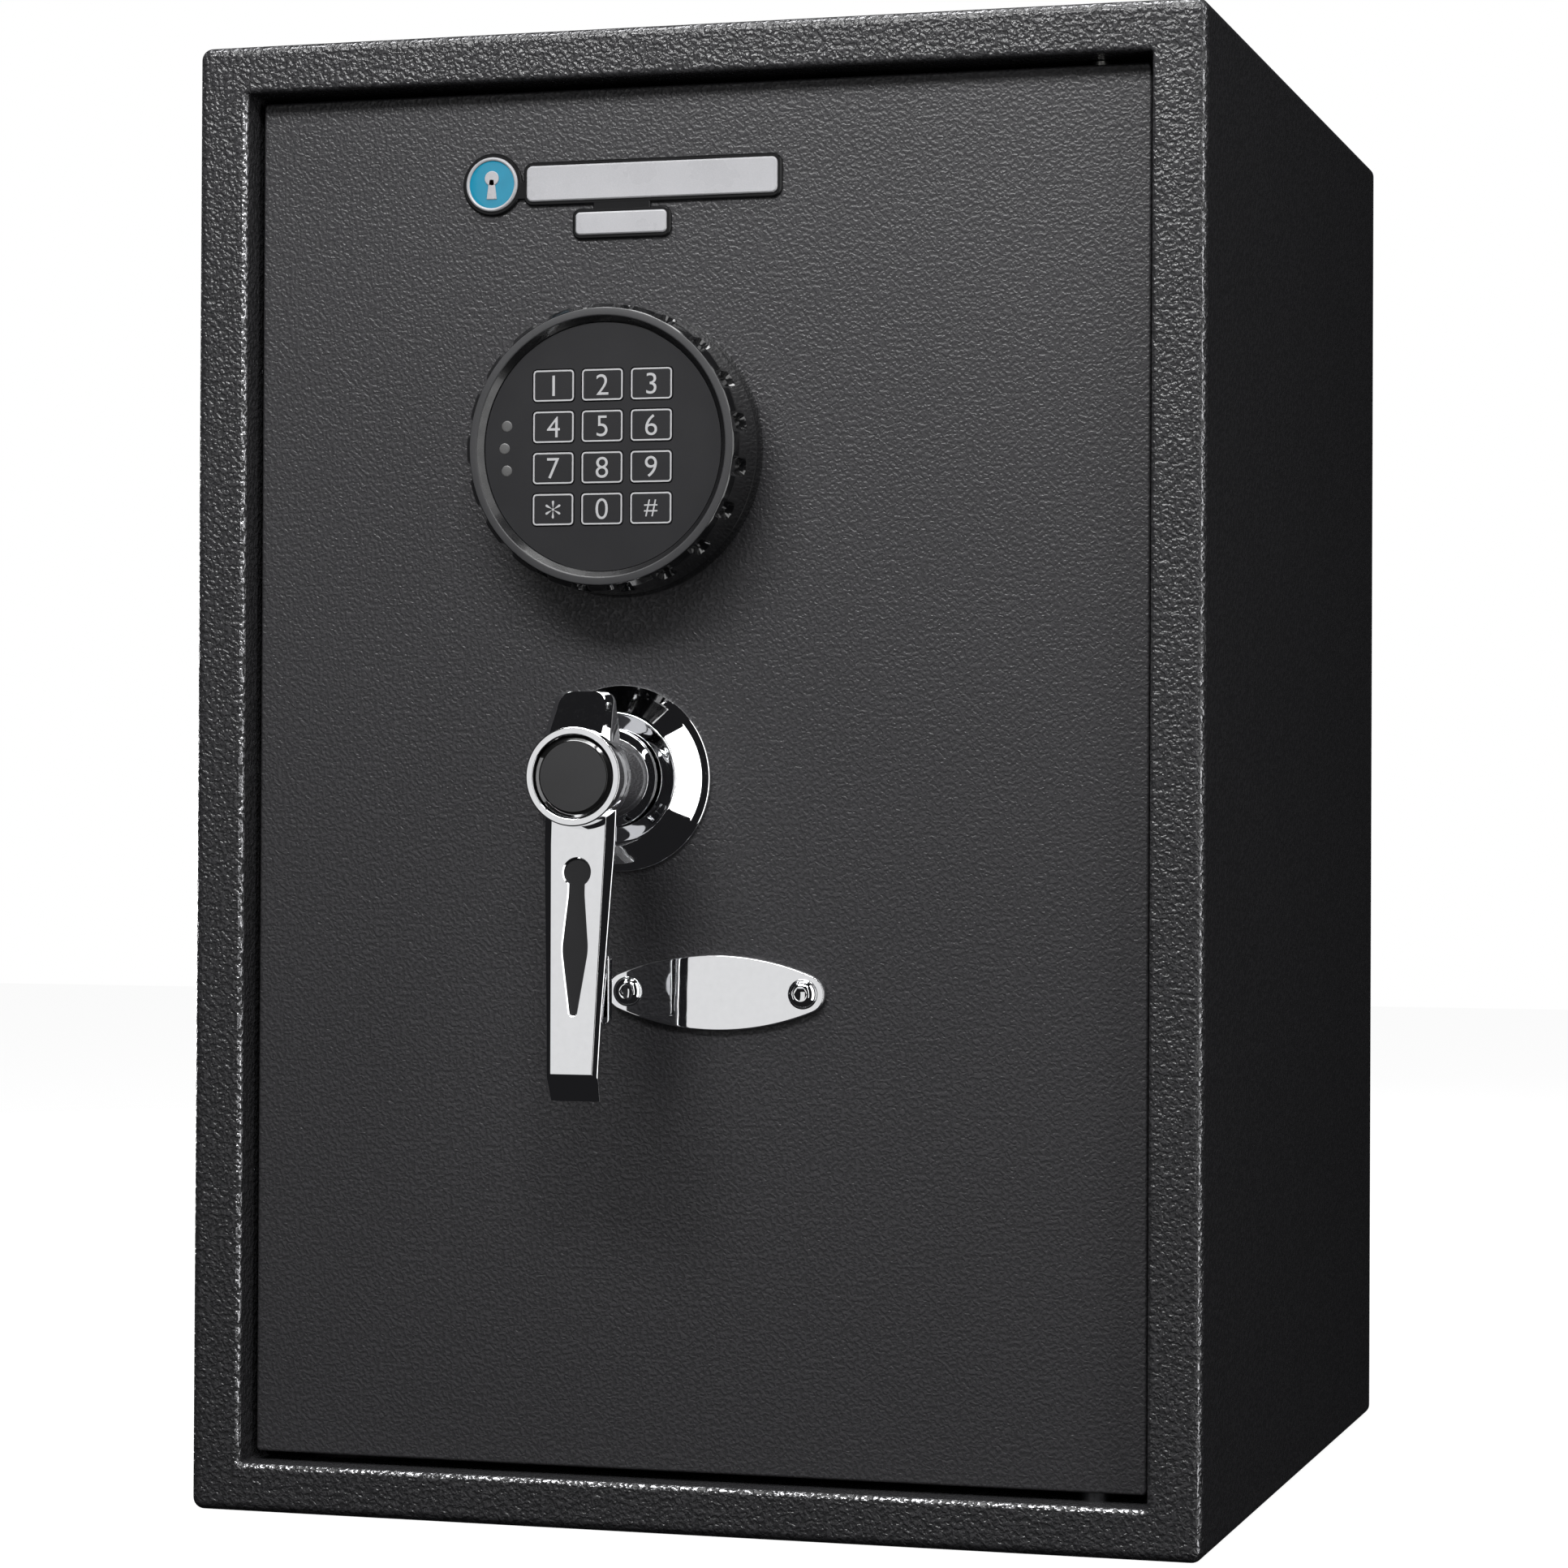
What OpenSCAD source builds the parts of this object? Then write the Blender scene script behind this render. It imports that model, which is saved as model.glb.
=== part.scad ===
// Small steel safe with a round keypad, a lever handle and three live bolts.
// The origin is the centre of the underside, +Z is up and the door faces -Y.
// All lengths are in millimetres. The door is drawn shut with its bolts withdrawn.

/* [Cabinet] */
// Outside width
cab_w = 350; // [340:1:380]
// Outside depth, from the front border to the back
cab_d = 360; // [350:1:420]
// Outside height
cab_h = 500; // [490:1:540]
// Thickness of the cabinet's sheet steel
sheet = 2; // [1.5:0.5:2.5]
// Radius of the cabinet's corners and front edges
corner_r = 4; // [3:0.5:5]
// Width of the front border at the sides
border_side = 18; // [17:0.5:20]
// Width of the front border at top and bottom
border_end = 16.5; // [16:0.5:18]
// Depth of the jamb, from the front border to its rear edge
jamb_depth = 24; // [23:0.5:25]
// Radius of the anchor holes in the back and the floor
anchor_r = 5.5; // [4:0.5:7]
// Distance between the two anchor holes of each pair
anchor_gap = 200; // [150:5:240]

/* [Door] */
// How far the door lies behind the front border
door_recess = 10; // [9:0.5:11]
// Thickness of the door plate
door_thick = 4; // [3:0.5:4]
// Gap round the door at the sides and the top
door_gap = 2; // [1.5:0.25:2.5]
// Gap under the door
sill_gap = 3; // [3:0.25:4]
// Depth of the mechanism behind the door's face
pan_depth = 38; // [37:0.5:42]

/* [Lock] */
// Radius of the locking bolts
bolt_r = 10; // [8:0.5:10]
// Travel of the locking bolts
bolt_throw = 16; // [12:1:16]
// Height of the outer bolts above and below the middle one
bolt_pitch = 140; // [110:5:150]
// Place of the handle and the keypad across the door
axis_x = -24; // [-30:1:-18]
// Height of the handle's axis
handle_z = 250; // [245:1:255]
// Distance of the handle's cap from the door's face
handle_reach = 50.4; // [49:0.2:56]

/* [Keypad] */
// Height of the keypad's centre
pad_z = 359; // [352:1:366]
// Radius of the keypad's front rim
pad_r = 46; // [45:0.5:48]
// Height of the keypad over the door's face
pad_height = 25; // [24:0.5:30]
// Width of a key
key_w = 14.7; // [12:0.1:15]
// Height of a key
key_h = 10.9; // [9:0.1:11.5]
// Travel of a key
key_travel = 0.8; // [0.5:0.1:1]

/* [Hidden] */
$fn = 48;

paint = [0.2, 0.2, 0.21];
front_y = -cab_d / 2;
back_y = cab_d / 2;
face_y = front_y + door_recess;
plate_y = face_y + door_thick;
jamb_y = front_y + jamb_depth;
pan_y = face_y + pan_depth;
cover_thick = 1.5;
cover_y = pan_y + cover_thick;
lip = corner_r;
inside_x = cab_w / 2 - sheet;
open_x = cab_w / 2 - border_side;
open_z0 = border_end;
open_z1 = cab_h - border_end;
door_x = open_x - door_gap;
door_z0 = open_z0 + sill_gap;
door_z1 = open_z1 - door_gap;
pan_inset = 7;
pan_x = door_x - pan_inset;
pan_z0 = door_z0 + pan_inset;
pan_z1 = door_z1 - pan_inset;
pan_flange = 14;

// The hinge axis lies behind the door's face and inside its right edge
pivot_x = door_x - 18;
pivot_y = face_y + 7.5;
pin_r = 3;
pin_fit = 0.06;
bush_r = 5;

bolt_y = jamb_y + bolt_r + 0.5;
bolt_zs = [cab_h / 2 - bolt_pitch, cab_h / 2, cab_h / 2 + bolt_pitch];
bolt_tip_x = 1 - door_x;
bolt_root_x = bolt_tip_x + 44;
bar_thick = 3;
// The crank pin swings 45 degrees to each side of upright
crank_r = bolt_throw / sqrt(2);
crank_pin_r = 3;
spindle_r = 5;
cam_y0 = plate_y + 2.5;
cam_y1 = cam_y0 + 5;
tongue_y0 = cam_y1 + 2.5;
tongue_y1 = tongue_y0 + 3;
lug_x = axis_x - 46;
plunger_x = lug_x - 5;
plunger_r = 4;
tongue_top = handle_z + 32;

plug_x = 9.5;
plug_z = handle_z - 71;
plug_r = 5.5;
plate_screw_gap = 60.6;
shelf_z = 252;
shelf_y0 = -95;

rows = 4;
key_step_x = 17;
key_step_z = 13.65;
fascia_h = pad_height - 2.5;
fascia_r = pad_r - 5;
// The keys stand proud of the fascia, and a flange on their backs holds them in
key_front_h = fascia_h + 0.2;
key_back_h = fascia_h - 3.3;
mat_thick = 1.5;
mat_h = key_back_h - key_travel - 0.6;
board_thick = 1.6;
dot_r = 1.9;
dot_arc = fascia_r - 6.8;

// ---- helpers ----
module block(x, y, z)
  translate([x[0], y[0], z[0]]) cube([x[1] - x[0], y[1] - y[0], z[1] - z[0]]);

// Round bar along Y at x, z
module rod_y(x, z, r, y0, y1)
  translate([x, y1, z]) rotate([90, 0, 0]) cylinder(h = y1 - y0, r = r);

// Round bar along X at y, z
module rod_x(y, z, r, x0, x1)
  translate([x0, y, z]) rotate([0, 90, 0]) cylinder(h = x1 - x0, r = r);

// Round bar along Z at x, y
module rod_z(x, y, r, z0, z1)
  translate([x, y, z0]) cylinder(h = z1 - z0, r = r);

// Solid turned about an axis that stands out of the door at x, z;
// each point is [radius, height over the door's face]
module turned(x, z, points)
  translate([x, face_y, z]) rotate([90, 0, 0]) rotate_extrude() polygon(points);

// Front view outline at x, z, extruded between two heights over the door's face
module raised(x, z, h0, h1)
  translate([x, face_y - h0, z]) rotate([90, 0, 0]) linear_extrude(h1 - h0) children();

module round_rect(w, h, r) {
  square([w - 2 * r, h], center = true);
  square([w, h - 2 * r], center = true);
  for (sx = [-1, 1], sy = [-1, 1])
    translate([sx * (w / 2 - r), sy * (h / 2 - r)]) circle(r);
}

// Cabinet cross-section, pulled in by inset, between two depths
module cabinet_prism(inset, y0, y1)
  translate([0, y1, cab_h / 2]) rotate([90, 0, 0]) linear_extrude(y1 - y0)
    round_rect(cab_w - 2 * inset, cab_h - 2 * inset, corner_r - inset);

// Depth profile of a front edge pair: width w across, rounded at the front
module edge_profile(w, r) {
  translate([-w / 2, front_y + r]) square([w, 4 * r]);
  translate([r - w / 2, front_y]) square([w - 2 * r, 2 * r]);
  for (s = [-1, 1]) translate([s * (w / 2 - r), front_y + r]) circle(r);
}

module mirror_x() {
  children();
  mirror([1, 0, 0]) children();
}

// ---- cabinet ----
module body_wrap() color(paint)
  difference() {
    cabinet_prism(0, front_y + lip, back_y - sheet);
    cabinet_prism(sheet, front_y, back_y);
    mirror_x() rod_z(anchor_gap / 2, 0, anchor_r, -1, 2 * sheet);
  }

module front_frame() color(paint) {
  edge_r = corner_r - 0.5;
  difference() {
    intersection() {
      cabinet_prism(0, front_y, front_y + lip);
      translate([0, 0, -1]) linear_extrude(cab_h + 2) edge_profile(cab_w, edge_r);
      translate([-cab_w, 0, cab_h / 2]) rotate([90, 0, 90]) linear_extrude(2 * cab_w)
        rotate(90) mirror([0, 1]) edge_profile(cab_h, edge_r);
    }
    cabinet_prism(sheet, front_y + sheet, back_y);
    block([-open_x, open_x], [front_y - 1, jamb_y], [open_z0, open_z1]);
  }
  difference() {
    block([-open_x - sheet, open_x + sheet], [front_y + sheet, jamb_y],
      [open_z0 - sheet, open_z1 + sheet]);
    block([-open_x, open_x], [front_y, jamb_y + 1], [open_z0, open_z1]);
    rod_z(pivot_x, pivot_y, bush_r, 0, cab_h);
  }
}

module back_panel() color(paint)
  difference() {
    cabinet_prism(0, back_y - sheet, back_y);
    mirror_x() rod_y(anchor_gap / 2, 300, anchor_r, back_y - 2 * sheet, back_y + 1);
  }

// Blocks that back the hinge bushes above and below the door
module hinge_brackets() color("dimgray")
  difference() {
    for (z = [[sheet, open_z0 - sheet], [open_z1 + sheet, cab_h - sheet]])
      block([pivot_x - 12, pivot_x + 12], [front_y + sheet, jamb_y + 4], z);
    rod_z(pivot_x, pivot_y, bush_r, 0, cab_h);
  }

module hinge_bushes() color("goldenrod")
  difference() {
    union() {
      rod_z(pivot_x, pivot_y, bush_r, sheet + 1, open_z0);
      rod_z(pivot_x, pivot_y, bush_r + 0.7, open_z0, open_z0 + sill_gap - 0.2);
      rod_z(pivot_x, pivot_y, bush_r, open_z1, cab_h - sheet - 1);
    }
    rod_z(pivot_x, pivot_y, pin_r + pin_fit, 0, cab_h);
  }

// Four angle clips on the side walls carry the shelf
module shelf_clips() color("silver")
  mirror_x() for (y = [-60, 130]) {
    block([inside_x - 1.5, inside_x], [y - 12, y + 12], [shelf_z - 22, shelf_z]);
    block([inside_x - 13, inside_x - 1.5], [y - 12, y + 12], [shelf_z - 1.5, shelf_z]);
  }

module floor_mat() color("slategray")
  difference() {
    block([-inside_x + 2, inside_x - 2], [jamb_y + 6, back_y - sheet - 2], [sheet, sheet + 3]);
    mirror_x() rod_z(anchor_gap / 2, 0, anchor_r + 4, 0, 10);
  }

module shelf() color(paint) {
  x1 = inside_x - 2;
  y1 = back_y - sheet - 3;
  block([-x1, x1], [shelf_y0, y1], [shelf_z, shelf_z + 1.5]);
  block([-x1 + 15, x1 - 15], [shelf_y0, shelf_y0 + 1.5], [shelf_z - 14, shelf_z]);
  block([-x1 + 15, x1 - 15], [y1 - 1.5, y1], [shelf_z - 14, shelf_z]);
}

// ---- door ----
module door_plate() color(paint)
  difference() {
    raised(0, (door_z0 + door_z1) / 2, -door_thick, 0)
      round_rect(2 * door_x, door_z1 - door_z0, 1.5);
    rod_y(axis_x, handle_z, 8, face_y - 1, plate_y + 1);
    rod_y(axis_x, pad_z, 6, face_y - 1, plate_y + 1);
    rod_y(plug_x, plug_z, 9, face_y - 1, plate_y + 1);
    for (s = [-1, 1]) {
      rod_y(plug_x + s * plate_screw_gap / 2, plug_z, 2.5, face_y - 1, plate_y + 1);
      rod_y(axis_x + s * 30, pad_z, 2, face_y - 1, plate_y + 1);
    }
  }

// Screw places round the rim of the inner cover
screw_x = pan_x - pan_flange / 2;
screw_z0 = pan_z0 + pan_flange / 2;
screw_z1 = pan_z1 - pan_flange / 2;
cover_screw_places = [
  for (x = [-screw_x, screw_x], k = [0:3]) [x, screw_z0 + (screw_z1 - screw_z0) * k / 3]
];

module door_pan() color(paint) {
  difference() {
    block([-pan_x, pan_x], [plate_y, pan_y], [pan_z0, pan_z1]);
    block([-pan_x + sheet, pan_x - sheet], [plate_y - 1, pan_y - sheet],
      [pan_z0 + sheet, pan_z1 - sheet]);
    block([-pan_x + pan_flange, pan_x - pan_flange], [plate_y, pan_y + 1],
      [pan_z0 + pan_flange, pan_z1 - pan_flange]);
    for (z = bolt_zs) rod_x(bolt_y, z, bolt_r + 1.2, -pan_x - 1, -pan_x + sheet + 1);
    for (p = cover_screw_places) rod_y(p[0], p[1], 2, pan_y - sheet - 1, pan_y + 1);
    rod_z(pivot_x, pivot_y, pin_r, 0, cab_h);
  }
  // pin blocks at the hinge side
  difference() {
    for (z = [[door_z0 + 0.5, pan_z0], [pan_z0 + sheet, pan_z0 + 22],
              [pan_z1 - 22, pan_z1 - sheet], [pan_z1, door_z1 - 0.5]])
      block([pivot_x - 9, pivot_x + 9], [plate_y, plate_y + 14], z);
    rod_z(pivot_x, pivot_y, pin_r, 0, cab_h);
  }
}

module hinge_pins() color("silver") {
  rod_z(pivot_x, pivot_y, pin_r, sheet + 4, pan_z0 + 20);
  rod_z(pivot_x, pivot_y, pin_r, pan_z1 - 20, cab_h - sheet - 4);
}

battery_z0 = 150;
battery_z1 = 206;
battery_x0 = 38;
cell_r = 7.2;
cells = 4;
battery_x1 = battery_x0 + 2 * cells * (cell_r + 0.3) + 3;
reset_x = 112;
reset_z = 392;

module door_cover() color(paint)
  difference() {
    block([-pan_x + 1, pan_x - 1], [pan_y, cover_y], [pan_z0 + 1, pan_z1 - 1]);
    block([battery_x0, battery_x1], [pan_y - 1, cover_y + 1], [battery_z0, battery_z1]);
    rod_y(reset_x, reset_z, 5.3, pan_y - 1, cover_y + 1);
    for (p = cover_screw_places) rod_y(p[0], p[1], 2, pan_y - 1, cover_y + 1);
  }

module cover_screws() color("silver")
  for (p = cover_screw_places) {
    rod_y(p[0], p[1], 2, pan_y - sheet - 1, cover_y);
    rod_y(p[0], p[1], 4, cover_y, cover_y + 2);
  }

module battery_box() color("black")
  difference() {
    block([battery_x0, battery_x1], [cover_y - 18, cover_y], [battery_z0, battery_z1]);
    block([battery_x0 + 1.5, battery_x1 - 1.5], [cover_y - 16.5, cover_y + 1],
      [battery_z0 + 1.5, battery_z1 - 1.5]);
  }

module batteries() color("orange")
  for (k = [0:cells - 1]) {
    x = battery_x0 + 1.8 + (2 * k + 1) * (cell_r + 0.2);
    up = k % 2;
    rod_z(x, cover_y - 9, cell_r, battery_z0 + 3 - up, battery_z1 - 2 - up);
    rod_z(x, cover_y - 9, 2.6, up ? battery_z1 - 3 : battery_z0 + 2,
      up ? battery_z1 - 2 : battery_z0 + 3);
  }

module battery_lid() color("black") {
  block([battery_x0 - 3, battery_x1 + 3], [cover_y + 0.3, cover_y + 2.3],
    [battery_z0 - 3, battery_z1 + 3]);
  for (k = [0:3])
    block([battery_x0 + 18, battery_x1 - 18], [cover_y + 2.3, cover_y + 3],
      [battery_z1 - 4 - 3 * k, battery_z1 - 2.6 - 3 * k]);
}

// Push button for setting a new code, flanged behind the cover
module reset_button() color("firebrick") {
  rod_y(reset_x, reset_z, 5, pan_y - 4, cover_y + 3);
  rod_y(reset_x, reset_z, 7, pan_y - 2, pan_y - 0.2);
}

module control_board() color("darkgreen") {
  block([28, 120], [plate_y + 6, plate_y + 7.6], [300, 372]);
  for (x = [32, 116], z = [304, 368]) rod_y(x, z, 2.5, plate_y, plate_y + 6);
  block([40, 58], [plate_y + 7.6, plate_y + 10], [320, 338]);
  block([70, 100], [plate_y + 7.6, plate_y + 15], [352, 362]);
  for (x = [75, 90]) rod_y(x, 328, 5, plate_y + 7.6, plate_y + 17);
}

module solenoid_frame() color("silver")
  difference() {
    union() {
      block([plunger_x - 13, plunger_x + 13], [plate_y, plate_y + 2],
        [tongue_top + 20, tongue_top + 66]);
      for (z = [tongue_top + 20, tongue_top + 64])
        block([plunger_x - 13, plunger_x + 13], [plate_y + 2, plate_y + 24], [z, z + 2]);
    }
    rod_z(plunger_x, tongue_y0 + 1.5, plunger_r + 0.3, tongue_top, tongue_top + 70);
  }

module solenoid_coil() color("saddlebrown")
  difference() {
    rod_z(plunger_x, tongue_y0 + 1.5, 9, tongue_top + 22, tongue_top + 64);
    rod_z(plunger_x, tongue_y0 + 1.5, plunger_r + 0.08, tongue_top, tongue_top + 70);
  }

module solenoid_plunger() color("silver")
  rod_z(plunger_x, tongue_y0 + 1.5, plunger_r, tongue_top + 16.5, tongue_top + 60);

module bolt_guides() color("ivory")
  for (z = bolt_zs)
    difference() {
      rod_x(bolt_y, z, bolt_r + 1.2, -pan_x - 1, -pan_x + 13);
      rod_x(bolt_y, z, bolt_r + 0.08, -pan_x - 2, -pan_x + 14);
    }

module spindle_bush() color("goldenrod")
  difference() {
    union() {
      rod_y(axis_x, handle_z, 8, face_y - 6, plate_y);
      rod_y(axis_x, handle_z, 12, plate_y, plate_y + 1.5);
    }
    rod_y(axis_x, handle_z, spindle_r + 0.08, face_y - 7, plate_y + 2);
  }

// Bright trim round the handle: a low flange, a steep cone and a dished top
module rose() color("white")
  turned(axis_x, handle_z, [
    [8, 0], [31.2, 0], [31.2, 0.8], [27.6, 2.2], [22.9, 12], [21.6, 12], [17, 11.2],
    [8, 11.2]
  ]);

module key_cylinder() color("goldenrod")
  difference() {
    union() {
      rod_y(plug_x, plug_z, 9, face_y, plate_y + 18);
      rod_y(plug_x, plug_z, 11, face_y - 0.8, face_y);
    }
    rod_y(plug_x, plug_z, plug_r + 0.06, face_y - 2, plate_y + 19);
  }

module cylinder_nut() color("silver")
  difference() {
    translate([plug_x, plate_y + 4, plug_z]) rotate([90, 0, 0]) cylinder(h = 4, r = 13, $fn = 6);
    rod_y(plug_x, plug_z, 9, plate_y - 1, plate_y + 5);
  }

module key_plug() color("gold")
  difference() {
    rod_y(plug_x, plug_z, plug_r, face_y - 0.6, plate_y + 19);
    block([plug_x - 1, plug_x + 1], [face_y - 2, face_y + 10], [plug_z - 4, plug_z + 4]);
  }

// Flat arm on the tail of the plug; it points down when the emergency lock is at rest
module key_cam() color("silver") {
  rod_y(plug_x, plug_z, 8, plate_y + 19, plate_y + 22);
  block([plug_x - 5, plug_x + 5], [plate_y + 19, plate_y + 22], [plug_z - 20, plug_z - 6]);
}

// Pointed oval: two large arcs that run into a small arc at each end
module pointed_oval(half_length, half_height, end_r) {
  c = half_length - end_r;
  arc_r = (c * c + half_height * half_height - end_r * end_r) / (2 * (half_height - end_r));
  rise = arc_r - half_height;
  // angle from upright at which a large arc meets a small one
  lean = atan2(c, rise);
  steps = 14;
  top = [for (k = [0:steps]) let (a = lean * (2 * k / steps - 1))
    [arc_r * sin(a), arc_r * cos(a) - rise]];
  right = [for (k = [1:steps - 1]) let (a = (90 - lean) * (1 - 2 * k / steps))
    [c + end_r * cos(a), end_r * sin(a)]];
  half = concat(top, right);
  polygon(concat(half, [for (p = half) -p]));
}

module keyhole_plate() color("white")
  difference() {
    raised(plug_x, plug_z, 0.8, 2.4) pointed_oval(37.8, 12.6, 6.5);
    for (s = [-1, 1])
      rod_y(plug_x + s * plate_screw_gap / 2, plug_z, 2.5, face_y - 4, face_y + 1);
  }

module plate_screws() color("white")
  for (s = [-1, 1]) {
    x = plug_x + s * plate_screw_gap / 2;
    rod_y(x, plug_z, 2.5, face_y - 2.4, plate_y + 4);
    difference() {
      turned(x, plug_z, [[0, 2.4], [5, 2.4], [5, 3], [3.4, 4.8], [0, 5]]);
      translate([x, face_y - 3.2, plug_z]) rotate([90, 0, 0]) cylinder(h = 3, r = 2.3, $fn = 6);
    }
  }

badge_z = pad_z + 86;

// Plain badge: a roundel and two bars on a dark backing
roundel_x = -47;
roundel_z = 5.4;
module badge_outline(grow) {
  translate([roundel_x, roundel_z]) circle(9.2 + grow);
  translate([9.5, 5]) round_rect(88 + 2 * grow, 12 + 2 * grow, 2 + grow);
  translate([-1, -9]) round_rect(32 + 2 * grow, 7.6 + 2 * grow, 1.5 + grow);
}

module badge_plate() color("black")
  raised(axis_x, badge_z, 0, 1.2) {
    badge_outline(1.4);
    translate([-36, 3]) square([8, 6], center = true);
    translate([-1, -3]) square([20, 6], center = true);
  }

module badge_emblem() color("lightgray")
  difference() {
    raised(axis_x, badge_z, 1.2, 2) badge_outline(0);
    // keyhole in the roundel
    raised(axis_x + roundel_x, badge_z + roundel_z, 1.6, 3) {
      translate([0, 1.8]) circle(2.4);
      translate([0, -1.9]) square([2.2, 6], center = true);
    }
  }

// ---- handle ----
tip_z = 145.2 - handle_z;
top_z = 27.8;
neck_h = 12.3;

// Height of the arm's front face over the door, at height z over the axis
shoulder_z = -22;
shoulder_h = 45;
function arm_face(z) = shoulder_h
  + (handle_reach - shoulder_h) * (z - shoulder_z) / (tip_z + 8 - shoulder_z);

// Side view of the arm: [height over the door, height over the axis]
module arm_side() polygon([
  [shoulder_h, shoulder_z], [handle_reach, tip_z + 8], [handle_reach - 3, tip_z],
  [43, tip_z + 0.5], [37, shoulder_z], [36, 20], [38.5, top_z - 1], [41, top_z],
  [46, top_z - 6], [47.4, 16]
]);

// Front view of the arm, tapered to the tip, with a rounded stub over the hub
module arm_front() {
  polygon([[-11.8, -16], [11.8, -16], [9, tip_z + 8], [8.2, tip_z], [-8.2, tip_z], [-9, tip_z + 8]]);
  translate([-9.6, -16]) square([19.2, 16 + top_z - 6]);
  translate([-5.6, -16]) square([11.2, 16 + top_z]);
  for (s = [-1, 1]) translate([s * 4.6, top_z - 5]) circle(5);
}

// Slot outline in the arm: a round head over a long spear
module slot_outline() {
  translate([0, -30.9]) circle(4.6);
  polygon([[-2.6, -32], [2.6, -32], [2.6, -37], [4.3, -56], [1.6, -76], [-1.6, -76],
    [-4.3, -56], [-2.6, -37]]);
  translate([0, -76]) circle(1.6);
}

module side_prism() translate([axis_x - 20, face_y, handle_z]) rotate([90, 0, 90])
  linear_extrude(40) mirror([1, 0]) children();

// Slot-shaped layer between two depths below the arm's front face
module slot_layer(d0, d1) intersection() {
  side_prism() polygon([
    [arm_face(shoulder_z) - d1, shoulder_z], [arm_face(shoulder_z) - d0, shoulder_z],
    [arm_face(-90) - d0, -90], [arm_face(-90) - d1, -90]
  ]);
  raised(axis_x, handle_z, 30, 60) slot_outline();
}

slot_depth = 1.4;

module lever_handle() color("white")
  difference() {
    union() {
      turned(axis_x, handle_z, [
        [0, neck_h], [16.4, neck_h], [16.1, neck_h + 0.8], [12.6, 31.5], [15, 37], [16.1, 39], [16.1, handle_reach],
        [0, handle_reach]
      ]);
      intersection() {
        side_prism() arm_side();
        raised(axis_x, handle_z, 30, 60) arm_front();
      }
    }
    rod_y(axis_x, handle_z, spindle_r, face_y - 34, face_y);
    rod_y(axis_x, handle_z, 13.7, face_y - handle_reach - 1, face_y - handle_reach + 3);
    slot_layer(-2, slot_depth);
  }

module handle_cap() color("black")
  turned(axis_x, handle_z, [
    [0, handle_reach - 3], [13.7, handle_reach - 3], [13.7, handle_reach - 1.6],
    [11.4, handle_reach - 0.8], [0, handle_reach - 0.8]
  ]);

module handle_inlay() color("dimgray")
  slot_layer(0.5, slot_depth);

module spindle() color("silver")
  rod_y(axis_x, handle_z, spindle_r, face_y - 34, tongue_y1 + 5);

module handle_cam() color("silver")
  difference() {
    union() {
      rod_y(axis_x, handle_z, 16, cam_y0, cam_y1);
      rod_y(axis_x + crank_r / sqrt(2), handle_z + crank_r / sqrt(2), crank_pin_r,
        cam_y1, tongue_y1 + 1.5);
    }
    rod_y(axis_x, handle_z, spindle_r, cam_y0 - 1, cam_y1 + 1);
  }

module spindle_clip() color("dimgray")
  difference() {
    rod_y(axis_x, handle_z, 7.6, cam_y1, cam_y1 + 1);
    rod_y(axis_x, handle_z, spindle_r, cam_y1 - 1, cam_y1 + 2);
  }

// ---- bolt work ----
module bolt_bar() color("silver")
  difference() {
    union() {
      block([bolt_root_x, bolt_root_x + bar_thick], [tongue_y0 - 1, pan_y - sheet - 0.5],
        [bolt_zs[0] - 20, bolt_zs[2] + 20]);
      block([bolt_root_x + bar_thick, axis_x + 44], [tongue_y0, tongue_y1],
        [handle_z - 28, tongue_top]);
      block([lug_x, lug_x + 6], [tongue_y0, tongue_y1], [tongue_top, tongue_top + 13]);
    }
    for (z = bolt_zs) rod_x(bolt_y, z, 3, bolt_root_x - 1, bolt_root_x + bar_thick + 1);
    // room for the spindle as the plate travels
    block([axis_x - 5.8, axis_x + bolt_throw + 5.8], [tongue_y0 - 1, tongue_y1 + 1],
      [handle_z - 5.8, handle_z + 5.8]);
    // slot for the crank pin
    translate([crank_r / sqrt(2), 0, 0])
      block([axis_x - crank_pin_r - 0.6, axis_x + crank_pin_r + 0.6],
        [tongue_y0 - 1, tongue_y1 + 1], [handle_z, handle_z + crank_r + crank_pin_r + 0.6]);
  }

module locking_bolts() color("white")
  for (z = bolt_zs)
    difference() {
      union() {
        rod_x(bolt_y, z, bolt_r, bolt_tip_x + 1, bolt_root_x);
        rod_x(bolt_y, z, bolt_r - 1, bolt_tip_x, bolt_tip_x + 1);
      }
      rod_x(bolt_y, z, 3, bolt_root_x - 14, bolt_root_x + 1);
    }

module bolt_screws() color("dimgray")
  for (z = bolt_zs) {
    rod_x(bolt_y, z, 3, bolt_root_x - 13, bolt_root_x + bar_thick);
    rod_x(bolt_y, z, 5, bolt_root_x + bar_thick, bolt_root_x + bar_thick + 4);
  }

// ---- keypad ----
base_h = 6;

module keypad_base() color("black")
  difference() {
    turned(axis_x, pad_z, [
      [6, 0], [pad_r + 2.6, 0], [pad_r + 2.6, 2], [pad_r + 2, base_h], [pad_r - 5, base_h],
      [pad_r - 5, 3], [6, 3]
    ]);
    for (s = [-1, 1]) rod_y(axis_x + s * 30, pad_z, 2, face_y - 4, face_y + 1);
  }

lugs = 20;

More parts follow.
